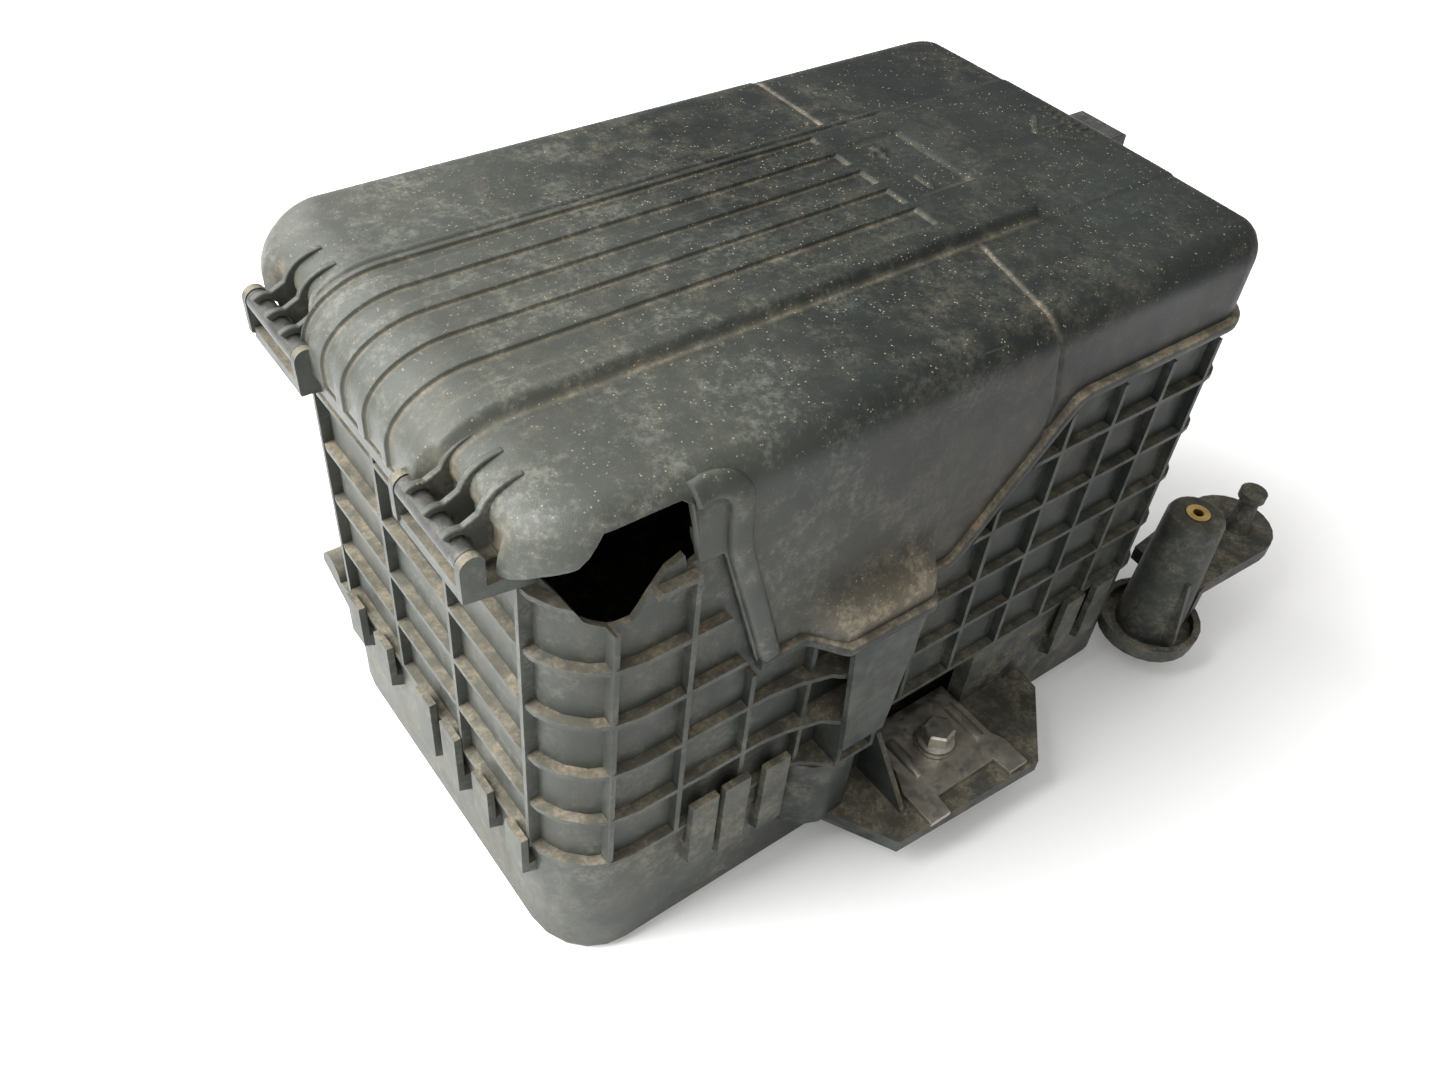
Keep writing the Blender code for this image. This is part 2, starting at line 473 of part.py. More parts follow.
def make_lid(plastic):
    lid = lid_solid("lid", 0.0, FLAP_BOTTOM)
    low, high = PLATEAU_SIDES
    top = LID_TOP + PLATEAU_RISE
    left = LID_X0 + LID_ROLL
    body = [(left + x * (LID_ROLL + 0.5), LID_TOP - LID_DROP + z * (LID_DROP + PLATEAU_RISE))
            for x, z in arc(0, 0, 1, 90, 165, 8)[::-1]]
    plateau = prism("plateau", [(left, LID_TOP - LID_DROP)] + body + [(left + 12, top), (PLATEAU_END, top),
                                                                      (PLATEAU_END + 2, LID_TOP - 6)], low, high)
    face = [(x, y) for x, y in arc(PLATEAU_END - 62.0, (low + high) / 2, 70.0, -33, 33, 8)]
    nose = slab("nose", [(40, high)] + [(40, low)] + [(x, y) for x, y in face], LID_TOP - 4, top)
    lip_out = outline(LID_X0 + 1.0, LID_X1 + LIP, LID_Y + LIP, HINGE_CORNER + FIT + WALL + LIP,
                      LATCH_CORNER + FIT + WALL + LIP)
    lip_in = outline(LID_X0 + 1.5, LID_X1 - 1.0, LID_Y - 1.0, HINGE_CORNER + FIT + WALL, LATCH_CORNER + FIT + WALL - 1)
    lip = ring("lip", lip_out, lip_in, LID_SKIRT, LID_SKIRT + LIP_HEIGHT)
    cut(lip, [prism("window", [(-400, 100), (58, 100), (58, 300), (-400, 300)], -400, -WALL_Y + 20)])
    border = prism("border", [(FLAP[0][0] - 6, FLAP[0][1]), (FLAP[0][0], FLAP[0][1] - 1), FLAP[1], FLAP[2], FLAP[3],
                              (FLAP[3][0], LID_SKIRT + LIP_HEIGHT), (FLAP[3][0] - 4, LID_SKIRT + LIP_HEIGHT),
                              (FLAP[2][0] - 3, FLAP_BOTTOM + LIP_HEIGHT), (FLAP[1][0] + 5, FLAP_BOTTOM + LIP_HEIGHT),
                              (FLAP[0][0] + 5, 214), (FLAP[0][0] + 5, 232), (FLAP[0][0] - 11, 232),
                              (FLAP[0][0] - 11, 217)],
                   -LID_Y - LIP, -LID_Y + 1)
    cap_loops = [(FLAP_BOTTOM + 0.2, hood_outline(FIT + WALL)), (FLAP_BOTTOM + 11, hood_outline(FIT + WALL)),
                 (FLAP_BOTTOM + 30, [(-54, -LID_Y + 1), (-46, -LID_Y - 0.5), (-14, -LID_Y - 0.5), (-2, -LID_Y + 1)])]
    pocket_cap = stack("pocket_cap", cap_loops)
    hooks = []
    for centre in HINGE_CENTRES.values():
        hooks += [lid_hook(centre + HOOK_PITCH * (k - 1)) for k in range(3)]
    join(lid, [plateau, nose, lip, border, pocket_cap] + hooks)
    cavity = lid_solid("cavity", WALL, FLAP_BOTTOM - 20)
    cap_hollow = stack("cap_hollow", [(FLAP_BOTTOM - 5, hood_outline(FIT)), (FLAP_BOTTOM + 9, hood_outline(FIT)),
                                      (FLAP_BOTTOM + 24, [(-56, -LID_Y + 3.6), (-46, -LID_Y + 2.0),
                                                          (-14, -LID_Y + 2.0), (0, -LID_Y + 3.6)])])
    left_part = prism("left_part", [(-400, 50), (FLAP[1][0], 50), FLAP[1], FLAP[0]]
                      + [(x - WALL_X, z) for x, z in OUTLET_UPPER]
                      + [(LID_X0 - 1, LID_END_EDGE), (-400, LID_END_EDGE)], -400, -WALL_Y + HINGE_CORNER - 4)
    right_part = prism("right_part", [(FLAP[1][0] - 30, 50), (400, 50), (400, LID_SKIRT), FLAP[3], FLAP[2], FLAP[1],
                                      (FLAP[1][0] - 30, FLAP[1][1])], -400, -WALL_Y + HINGE_CORNER - 4.3)
    rest = prism("rest", [(-400, 50), (400, 50), (400, LID_SKIRT), (-WALL_X + 22, LID_SKIRT), (-WALL_X - 4, LID_END_EDGE),
                          (-400, LID_END_EDGE)], -WALL_Y + HINGE_CORNER - 5, 400)
    cut(lid, [cavity, cap_hollow, left_part, right_part, rest])
    return finish(lid, plastic)


def make_latch(plastic):
    """Spring tongue that stands on the surround's end wall and hooks over the lid's lip."""
    out = LID_X1 + LIP + 0.8
    section = [(WALL_X + FIT, LATCH_ROOT - 3), (out + LATCH_THICK, LATCH_ROOT - 3), (out + LATCH_THICK, LATCH_TOP - 12),
               (out + 11, LATCH_TOP - 7), (out + 11, LATCH_TOP - 1), (out + 9, LATCH_TOP), (out + 1, LATCH_TOP),
               (out, LATCH_TOP - 1.5), (out, LID_SKIRT + LIP_HEIGHT + 5), (LID_X1 + 0.6, LID_SKIRT + LIP_HEIGHT + 2.4),
               (LID_X1 + 0.6, LID_SKIRT + LIP_HEIGHT + TOUCH), (out, LID_SKIRT + LIP_HEIGHT + TOUCH),
               (out, LATCH_ROOT + 5), (WALL_X + FIT, LATCH_ROOT + 3)]
    return finish(prism("lid_latch", section, -LATCH_WIDTH / 2, LATCH_WIDTH / 2), plastic)


# ---- clamp and fasteners -----------------------------------------------------------------------------------
def make_clamp(steel):
    low, high = FOOT_TOP + TOUCH, PLATE_TOP
    x0, x1 = BOLT_X - PLATE_WIDTH / 2, BOLT_X + PLATE_WIDTH / 2
    front = -FOOT_REACH + 2
    plan = [(x0, -CLAMP_REACH), (x0, BOLT_Y - 2), (x0 - 5, BOLT_Y - 12), (x0 - 5, front), (x0 + 6, front),
            (x0 + 7, front + 9), (x1 - 9, front + 9), (x1 - 8, front), (x1 + 3, front), (x1 + 3, BOLT_Y - 16),
            (x1, BOLT_Y - 10), (x1, -CLAMP_REACH)]
    plate = slab("clamp_plate", plan, low, high)
    beads = []
    for x in (x0 + 8, x1 - 6):
        bead = prism("bead", [(x + 3.2 * cos(radians(a)), high - 0.8 + 2.8 * sin(radians(a))) for a in
                              range(0, 181, 20)], BOLT_Y - 10, BOLT_Y + 11)
        beads.append(bead)
    join(plate, beads)
    hole = turned("hole", BOLT_X, BOLT_Y, [(BOLT_HOLE, low - 3), (BOLT_HOLE, high + 3)])
    return finish(cut(plate, [hole]), steel)


def make_bolt(steel):
    """Hexagon flange bolt: head, flange and shank."""
    head = arc(BOLT_X, BOLT_Y, HEAD_ACROSS / sqrt(3), 15, 315, 5)
    bolt = turned("clamp_bolt", BOLT_X, BOLT_Y, [(BOLT_RADIUS, 12.0), (BOLT_RADIUS, WASHER_TOP + TOUCH),
                                                 (8.6, WASHER_TOP + TOUCH), (8.6, WASHER_TOP + 1.4),
                                                 (6.6, WASHER_TOP + 2.4)])
    chamfer = arc(BOLT_X, BOLT_Y, HEAD_ACROSS / sqrt(3) - 1.1, 15, 315, 5)
    crown = stack("crown", [(WASHER_TOP + 1, head), (WASHER_TOP + 8.2, head), (WASHER_TOP + 9, chamfer)])
    return finish(join(bolt, [crown]), steel)


def tube(name, cx, cy, outer, inner, z0, z1, finish_material, sides=24):
    last = 360 - 360 / sides
    made = ring(name, arc(cx, cy, outer, 0, last, sides - 1), arc(cx, cy, inner, 0, last, sides - 1), z0, z1)
    return finish(made, finish_material)


def make_nut(steel):
    """Captive hexagon nut in the well under the foot."""
    across = HEAD_ACROSS / sqrt(3)
    top = FOOT_TOP - FOOT_THICK + 3.0 - TOUCH
    nut = slab("clamp_nut", arc(BOLT_X, BOLT_Y, across, 0, 300, 5), top - 6.5, top)
    bore = turned("bore", BOLT_X, BOLT_Y, [(BOLT_RADIUS + 0.05, 0), (BOLT_RADIUS + 0.05, 40)])
    return finish(cut(nut, [bore]), steel)


def build():
    clear_scene()
    make_tray(material("tray_plastic", (0.050, 0.055, 0.056), 0.62))
    make_surround(material("surround_plastic", (0.050, 0.056, 0.057), 0.6))
    for side, centre in HINGE_CENTRES.items():
        hinge_bar("hinge_bar_" + side, centre, material("hinge_bar_" + side, (0.03, 0.032, 0.034), 0.5))
    make_lid(material("lid_plastic", (0.045, 0.052, 0.052), 0.58))
    make_latch(material("latch_plastic", (0.035, 0.038, 0.040), 0.5))
    make_clamp(material("clamp_steel", (0.42, 0.40, 0.36), 0.45, 1.0))
    make_bolt(material("bolt_steel", (0.40, 0.37, 0.31), 0.5, 1.0))
    tube("clamp_washer", BOLT_X, BOLT_Y, 9.4, BOLT_HOLE, PLATE_TOP + TOUCH, WASHER_TOP,
         material("washer_steel", (0.45, 0.43, 0.38), 0.45, 1.0))
    make_nut(material("nut_steel", (0.40, 0.38, 0.34), 0.5, 1.0))
    tube("brass_insert", BOSS_X, BOSS_Y, INSERT_RADIUS, INSERT_BORE, BOSS_TOP - INSERT_LENGTH, BOSS_TOP + 0.4,
         material("insert_brass", (0.60, 0.42, 0.15), 0.35, 1.0))


build()
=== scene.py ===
# %% [markdown]
# # A worn car battery box
#
# A battery box keeps a starter battery dry and upright under the bonnet.  A tray with a foot and a boss
# is bolted to the car, a ribbed surround drops over the tray, and a hinged lid closes it.  The working
# model already fixes every size and every joint, so this script only makes the surfaces: it loads that
# frame, adds the moulded detail that a hand and an eye would notice, and gives each plastic and metal its
# own finish.

# %% The frame and its box
import json
from math import cos, pi, radians, sin

import bmesh
import bpy
import numpy as np
from mathutils import Matrix, Vector


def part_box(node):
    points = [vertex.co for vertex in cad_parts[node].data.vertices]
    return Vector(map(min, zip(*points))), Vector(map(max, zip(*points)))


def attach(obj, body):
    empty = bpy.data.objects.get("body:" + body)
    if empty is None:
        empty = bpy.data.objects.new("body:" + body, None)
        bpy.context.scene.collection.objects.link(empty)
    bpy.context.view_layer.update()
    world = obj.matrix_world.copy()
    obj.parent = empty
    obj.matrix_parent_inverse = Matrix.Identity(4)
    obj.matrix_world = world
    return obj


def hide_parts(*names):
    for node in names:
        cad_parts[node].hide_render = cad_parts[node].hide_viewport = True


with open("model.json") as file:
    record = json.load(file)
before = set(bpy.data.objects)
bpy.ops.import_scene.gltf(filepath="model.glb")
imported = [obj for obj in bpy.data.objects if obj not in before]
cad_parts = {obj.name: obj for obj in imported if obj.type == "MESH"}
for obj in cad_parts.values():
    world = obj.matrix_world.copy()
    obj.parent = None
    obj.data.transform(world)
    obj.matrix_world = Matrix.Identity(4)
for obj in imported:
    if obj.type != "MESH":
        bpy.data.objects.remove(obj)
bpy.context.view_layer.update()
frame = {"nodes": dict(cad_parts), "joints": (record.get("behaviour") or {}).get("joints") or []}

MM = 0.001
nodes = frame["nodes"]

# %% [markdown]
# ## Where the eye stands
#
# The camera comes first, because every later choice is judged through it.  It looks down on the hinge end
# and the clamp side from about arm's length, through a fairly wide lens.  Blender's camera looks along
# its own -Z with +Y up, so its matrix is built from three directions: right, up, and back towards the
# eye.

# %% Camera
EYE = Vector((-0.2764, -0.2970, 0.4752))
AZIMUTH, ELEVATION, ROLL = radians(-41.139), radians(44.656), radians(6.429)
LENS, SENSOR = 31.30, 36.0  # millimetres


def make_camera():
    """Puts the camera at EYE, looking down its own -Z at the given azimuth, elevation and roll."""
    back = Vector((sin(AZIMUTH) * cos(ELEVATION), -cos(AZIMUTH) * cos(ELEVATION), sin(ELEVATION)))
    level = (-back).cross(Vector((0, 0, 1))).normalized()
    lift = level.cross(-back)
    right = cos(ROLL) * level + sin(ROLL) * lift
    up = cos(ROLL) * lift - sin(ROLL) * level
    camera = bpy.data.objects.new("camera", bpy.data.cameras.new("camera"))
    camera.data.sensor_width = SENSOR
    camera.data.lens = LENS
    camera.data.clip_start = 0.01
    camera.matrix_world = Matrix.Translation(EYE) @ Matrix((right, up, back)).transposed().to_4x4()
    bpy.context.collection.objects.link(camera)
    bpy.context.scene.camera = camera


make_camera()

# %% [markdown]
# ## Floor and light
#
# The box stands on a plain white sheet.  One broad lamp beyond the hinge end lights that end and the top,
# a weak one fills the clamp side, and a third from the far side puts a sheen on the lid.  The sky is
# bright towards the hinge end and dimmer towards the latch, as in a room with one big window, so the lid
# darkens along its length.  Broad lamps show how a moulded surface turns; a small lamp would only give
# hard spots.

# %% Floor, lamps and sky
FLOOR_SIZE = 6.0
PAPER_COLOUR, PAPER_ROUGHNESS = (0.93, 0.93, 0.94, 1), 0.6
LAMPS = [  # name, place, what it points at, width in metres, power in watts
    ("key", (-1.3, 0.55, 1.4), (0, 0, 0.12), 1.3, 84),
    ("fill", (-0.9, -1.4, 1.5), (0, 0, 0.1), 1.2, 6),
    ("rim", (-0.35, 1.4, 1.0), (0, 0, 0.2), 0.8, 12),
]
SKY_COLOUR = (1.0, 0.99, 0.96, 1)
SKY_WINDOW, SKY_ROOM = 1.0, 0.38  # strength of the sky towards the hinge end and towards the latch end
SKY_FADE = 0.7  # how far along X, on the unit sphere of directions, the fade reaches from the middle


def make_floor():
    half = FLOOR_SIZE / 2
    corners = [(-half, -half, 0), (half, -half, 0), (half, half, 0), (-half, half, 0)]
    mesh = bpy.data.meshes.new("floor")
    mesh.from_pydata(corners, [], [(0, 1, 2, 3)])
    floor = bpy.data.objects.new("floor", mesh)
    bpy.context.collection.objects.link(floor)
    paper = bpy.data.materials.new("white_paper")
    paper.use_nodes = True
    shader = paper.node_tree.nodes["Principled BSDF"]
    shader.inputs["Base Color"].default_value = PAPER_COLOUR
    shader.inputs["Roughness"].default_value = PAPER_ROUGHNESS
    mesh.materials.append(paper)


def soft_lamp(name, place, target, size, power):
    lamp = bpy.data.objects.new(name, bpy.data.lights.new(name, "AREA"))
    lamp.data.size = size
    lamp.data.energy = power
    lamp.location = place
    aim = Vector(target) - Vector(place)
    lamp.rotation_euler = aim.to_track_quat("-Z", "Y").to_euler()
    bpy.context.collection.objects.link(lamp)


def make_sky():
    """A pale sky of strength SKY_WINDOW towards the hinge end, fading to SKY_ROOM towards the latch end."""
    sky = bpy.data.worlds.new("pale_sky")
    sky.use_nodes = True
    tree = sky.node_tree
    background = tree.nodes["Background"]
    background.inputs["Color"].default_value = SKY_COLOUR
    direction = tree.nodes.new("ShaderNodeSeparateXYZ")
    tree.links.new(tree.nodes.new("ShaderNodeTexCoord").outputs["Generated"], direction.inputs[0])
    fade = tree.nodes.new("ShaderNodeMapRange")
    tree.links.new(direction.outputs["X"], fade.inputs["Value"])
    for socket, number in zip(fade.inputs[1:5], (-SKY_FADE, SKY_FADE, SKY_WINDOW, SKY_ROOM)):
        socket.default_value = number
    tree.links.new(fade.outputs[0], background.inputs["Strength"])
    bpy.context.scene.world = sky


make_floor()
for lamp in LAMPS:
    soft_lamp(*lamp)
make_sky()
bpy.context.scene.view_settings.view_transform = "Standard"
print("lamps:", [lamp[0] for lamp in LAMPS])

# %% [markdown]
# ## Effects shared by the finishes
#
# Every moulding here is the same kind of plastic seen through years of road dust, so the effects are made
# once as node groups and placed in each material with their own amounts.  Each group reads Object
# coordinates, which stay put on the part, and puts out only a mask or a height.

# %% Node group helper
def new_group(name, inputs, outputs):
    """An empty shader node group with float inputs {name: default} and float outputs."""
    group = bpy.data.node_groups.new(name, "ShaderNodeTree")
    for label, default in inputs.items():
        socket = group.interface.new_socket(label, in_out="INPUT", socket_type="NodeSocketFloat")
        socket.default_value = default
    for label in outputs:
        group.interface.new_socket(label, in_out="OUTPUT", socket_type="NodeSocketFloat")
    return group


class Board:
    """A node tree with short ways to place and wire nodes; a value is a number or another node's socket."""

    def __init__(self, tree):
        self.tree = tree

    def node(self, kind, **settings):
        made = self.tree.nodes.new(kind)
        for key, value in settings.items():
            setattr(made, key, value)
        return made

    def put(self, socket, value):
        if isinstance(value, bpy.types.NodeSocket):
            self.tree.links.new(value, socket)
        else:
            socket.default_value = value

    def math(self, operation, a, b=0.0, clamp=False):
        made = self.node("ShaderNodeMath", operation=operation, use_clamp=clamp)
        self.put(made.inputs[0], a)
        self.put(made.inputs[1], b)
        return made.outputs[0]

    def ramp(self, value, low, high, to_low=0.0, to_high=1.0):
        """value carried smoothly from low..high to to_low..to_high, and held level outside."""
        made = self.node("ShaderNodeMapRange", interpolation_type="SMOOTHSTEP")
        for socket, number in zip(made.inputs[:5], (value, low, high, to_low, to_high)):
            self.put(socket, number)
        return made.outputs[0]

    def noise(self, vector, scale, detail=4.0, roughness=0.55):
        made = self.node("ShaderNodeTexNoise")
        self.put(made.inputs["Vector"], vector)
        self.put(made.inputs["Scale"], scale)
        self.put(made.inputs["Detail"], detail)
        self.put(made.inputs["Roughness"], roughness)
        return made.outputs["Fac"]

    def mix(self, factor, a, b):
        """Colour a where factor is 0 and colour b where it is 1."""
        made = self.node("ShaderNodeMix", data_type="RGBA")
        self.put(made.inputs["Factor"], factor)
        self.put(made.inputs["A"], a)
        self.put(made.inputs["B"], b)
        return made.outputs["Result"]

    def place(self, vector, offset=(0, 0, 0), scale=(1, 1, 1)):
        made = self.node("ShaderNodeMapping")
        self.put(made.inputs["Vector"], vector)
        made.inputs["Location"].default_value = offset
        made.inputs["Scale"].default_value = scale
        return made.outputs["Vector"]

    def group(self, group, **values):
        made = self.node("ShaderNodeGroup")
        made.node_tree = group
        for key, value in values.items():
            self.put(made.inputs[key], value)
        return made

    def bump(self, shader, height, strength, distance):
        """Height as a bump on the shader's normal; distance is the depth in metres of a height of 1."""
        made = self.node("ShaderNodeBump")
        made.inputs["Strength"].default_value = strength
        made.inputs["Distance"].default_value = distance
        self.put(made.inputs["Height"], height)
        self.put(shader.inputs["Normal"], made.outputs["Normal"])


# %% [markdown]
# ### Dust
#
# Dust settles where a surface looks up, thicker where something sheltered it, and it is never even: there
# are drifts some centimetres wide, a mottled middle scale where damp dried out, and single grains.  The
# mask multiplies how far the surface faces up by two noises, and adds sparse grains from a Voronoi
# pattern.

# %% Dust mask
DRIFT, MOTTLE, PATCH, SPECK, GRAIN = 14.0, 95.0, 260.0, 620.0, 640.0  # pattern scales, coarse to fine


def make_dust():
    """Mask = drift x mottle x Amount + facing up x Ledges + Shelter + sparse grains."""
    inputs = {"Amount": 0.5, "Ledges": 0.5, "Shelter": 0.0, "Grains": 0.3}
    group = new_group("settled_dust", inputs, ["Mask"])
    b = Board(group)
    given = b.node("NodeGroupInput").outputs
    where = b.node("ShaderNodeTexCoord").outputs["Object"]
    facing = b.node("ShaderNodeSeparateXYZ")
    b.put(facing.inputs[0], b.node("ShaderNodeNewGeometry").outputs["Normal"])
    up = b.ramp(facing.outputs["Z"], 0.15, 0.85)
    drift = b.ramp(b.noise(where, DRIFT, 5.0, 0.6), 0.38, 0.68)
    mottle = b.ramp(b.noise(where, MOTTLE, 8.0, 0.75), 0.40, 0.64)
    speck = b.ramp(b.noise(where, SPECK, 3.0, 0.7), 0.38, 0.62, 0.35, 1.0)
    mottle = b.math("MULTIPLY", mottle, speck)
    film = b.math("MULTIPLY", b.math("MULTIPLY", drift, mottle), given["Amount"])
    ledge = b.math("MULTIPLY", b.math("MULTIPLY", up, given["Ledges"]), b.math("ADD", mottle, 0.35))
    shelter = b.math("MULTIPLY", given["Shelter"], b.ramp(mottle, 0.0, 0.8, 0.45, 1.0))
    cells = b.node("ShaderNodeTexVoronoi")
    b.put(cells.inputs["Vector"], where)
    b.put(cells.inputs["Scale"], GRAIN)
    grain = b.math("MULTIPLY", b.ramp(cells.outputs["Distance"], 0.12, 0.26, 1.0, 0.0), given["Grains"])
    patch = b.ramp(b.noise(where, PATCH, 3.0, 0.7), 0.50, 0.62)
    grain = b.math("MULTIPLY", b.math("MULTIPLY", grain, patch), b.ramp(up, 0.0, 0.6, 0.25, 1.0))
    total = b.math("ADD", b.math("ADD", film, ledge), b.math("ADD", shelter, grain), clamp=True)
    b.put(b.node("NodeGroupOutput").inputs["Mask"], total)
    return group


dust_group = make_dust()

# %% [markdown]
# ### Edge wear
#
# Corners of a moulding rub pale.  The mesh's pointiness says how sharply it turns at a point, and a noise
# breaks the line up, because wear is never an even outline.

# %% Edge wear mask
FLAT = 0.52  # pointiness of a surface that is flat or nearly so


def make_wear():
    """Mask = how far the pointiness is past flat, x a breaking noise x Amount."""
    group = new_group("edge_wear", {"Amount": 0.5, "Width": 0.06}, ["Mask"])
    b = Board(group)
    given = b.node("NodeGroupInput").outputs
    where = b.node("ShaderNodeTexCoord").outputs["Object"]
    sharp = b.node("ShaderNodeNewGeometry").outputs["Pointiness"]
    edge = b.ramp(sharp, FLAT, b.math("ADD", given["Width"], FLAT))
    broken = b.ramp(b.noise(where, 60.0, 5.0, 0.7), 0.35, 0.7)
    mask = b.math("MULTIPLY", b.math("MULTIPLY", edge, broken), given["Amount"])
    b.put(b.node("NodeGroupOutput").inputs["Mask"], mask)
    return group


wear_group = make_wear()

# %% [markdown]
# ### Moulded grain and scratches
#
# Spark-eroded moulds leave a fine pebbled grain.  It is too small to model, so it is a height for a bump.
# Long thin scratches come from a noise stretched twenty times along one direction.

# %% Grain and scratch heights
def make_grain():
    """Height = a fine pebble noise + a slow waviness of the wall."""
    group = new_group("moulded_grain", {"Scale": 1500.0, "Waviness": 0.3}, ["Height"])
    b = Board(group)
    given = b.node("NodeGroupInput").outputs
    where = b.node("ShaderNodeTexCoord").outputs["Object"]
    fine = b.noise(where, given["Scale"], 2.0, 0.6)
    wave = b.math("MULTIPLY", b.noise(where, 22.0, 3.0, 0.5), given["Waviness"])
    b.put(b.node("NodeGroupOutput").inputs["Height"], b.math("ADD", fine, wave))
    return group


def make_scratches():
    """Mask = stretched noise along X or along Y, only in some places."""
    group = new_group("scratches", {"Amount": 0.5}, ["Mask"])
    b = Board(group)
    given = b.node("NodeGroupInput").outputs
    where = b.node("ShaderNodeTexCoord").outputs["Object"]
    along = b.ramp(b.noise(b.place(where, scale=(40, 900, 500)), 1.0, 3.0, 0.6), 0.66, 0.74)
    across = b.ramp(b.noise(b.place(where, (3, 1, 2), (700, 60, 300)), 1.0, 3.0, 0.6), 0.69, 0.76)
    place = b.ramp(b.noise(where, 18.0, 2.0, 0.5), 0.45, 0.62)
    total = b.math("MULTIPLY", b.math("MAXIMUM", along, across), b.math("MULTIPLY", place, given["Amount"]))
    b.put(b.node("NodeGroupOutput").inputs["Mask"], total)
    return group


grain_group = make_grain()
scratch_group = make_scratches()

# %% [markdown]
# ## The plastics
#
# All mouldings share one recipe: a charcoal base that varies a little, paler where the edges rub or
# something scraped by, and tan where dust lies.  Dust is rougher than plastic, so the same mask raises
# the roughness.  The hinge end stood in the dirt and has faded, and the latch end is darker and cleaner,
# so several amounts change along X.  Each moulding gets its own amounts, as each has led its own life:
# the tray's skirt was splashed, the lid was wiped, the latch is newer.

# %% Plastic recipe
TAN_DUST = (0.190, 0.148, 0.092, 1)
PALE_DUST = (0.30, 0.27, 0.21, 1)
CHALKY = (0.17, 0.175, 0.15, 1)
LEDGES_ALONG, FADE_ALONG = (-0.12, 0.10), (-0.165, -0.01)  # from this X to that X, in metres
CLOUD_ALONG = (-0.13, 0.05)
HINGE_END_HAZE = 0.26  # how chalky the hinge end goes where it faded most
CLEAN_END_CLOUD = 0.18  # how much of the clouding is left at the latch end
PLASTIC_IOR = 1.30  # low, because dust dulls the mirror part of the sheen
DUST_ROUGHER, DUST_RAISED = 0.4, 0.7
GRAIN_HEIGHT = 0.0004


def plastic(name, base, bleached, roughness=0.5, amount=0.5, ledges=0.6, grains=0.4, wear=0.5, scrape=0.4,
            grain=0.25, shelter_attribute=None, faded_end=0.0, bloom=0.45, far_ledges=0.4):
    """Charcoal plastic: base drifting to bleached, chalky clouds, worn edges, scratches, and dust over it.

    faded_end fades the hinge end, far_ledges is how much of the ledge dust is left at the latch end, and
    shelter_attribute names the mesh attribute that says where dust is packed.
    """
    made = bpy.data.materials.new(name)
    made.use_nodes = True
    b = Board(made.node_tree)
    shader = made.node_tree.nodes["Principled BSDF"]
    shader.inputs["IOR"].default_value = PLASTIC_IOR
    where = b.node("ShaderNodeTexCoord").outputs["Object"]
    along = b.node("ShaderNodeSeparateXYZ")
    b.put(along.inputs[0], where)
    ledges = b.ramp(along.outputs["X"], *LEDGES_ALONG, ledges, far_ledges * ledges)

    blotch = b.ramp(b.noise(where, 9.0, 5.0, 0.6), 0.3, 0.75)
    if faded_end:
        end = b.ramp(along.outputs["X"], *FADE_ALONG, faded_end, 0.0)
        broken_end = b.math("MULTIPLY", end, b.ramp(b.noise(where, 30.0, 6.0, 0.7), 0.3, 0.7))
        blotch = b.math("ADD", blotch, broken_end, clamp=True)
    colour = b.mix(blotch, (*base, 1), (*bleached, 1))
    if faded_end:
        colour = b.mix(b.math("MULTIPLY", end, HINGE_END_HAZE), colour, CHALKY)

    cloud = b.ramp(b.noise(where, 48.0, 9.0, 0.8), 0.47, 0.60)
    cloud = b.math("MULTIPLY", cloud, b.ramp(b.noise(where, 380.0, 4.0, 0.7), 0.36, 0.66))
    cloud = b.math("MULTIPLY", cloud, b.ramp(blotch, 0.0, 1.0, bloom * 0.35, bloom))
    if faded_end:
        cloud = b.math("MULTIPLY", cloud, b.ramp(along.outputs["X"], *CLOUD_ALONG, 1.0, CLEAN_END_CLOUD))
    colour = b.mix(cloud, colour, CHALKY)

    scraped = b.group(scratch_group, Amount=scrape).outputs[0]
    worn = b.math("MAXIMUM", b.group(wear_group, Amount=wear).outputs[0], scraped)
    colour = b.mix(worn, colour, (bleached[0] * 3.0, bleached[1] * 3.0, bleached[2] * 2.9, 1))

    shelter = 0.0
    if shelter_attribute:
        shelter = b.node("ShaderNodeAttribute", attribute_name=shelter_attribute).outputs["Fac"]
    dust = b.group(dust_group, Amount=amount, Ledges=ledges, Shelter=shelter, Grains=grains).outputs[0]
    powder = b.mix(b.noise(where, 45.0, 3.0, 0.6), TAN_DUST, PALE_DUST)
    b.put(shader.inputs["Base Color"], b.mix(dust, colour, powder))

    uneven = b.ramp(b.noise(where, 25.0, 4.0, 0.6), 0.2, 0.8, roughness - 0.07, roughness + 0.07)
    rough = b.math("ADD", uneven, b.math("MULTIPLY", dust, DUST_ROUGHER), clamp=True)
    b.put(shader.inputs["Roughness"], rough)
    height = b.math("ADD", b.group(grain_group).outputs[0], b.math("MULTIPLY", dust, DUST_RAISED))
    b.bump(shader, height, grain, GRAIN_HEIGHT)
    return made


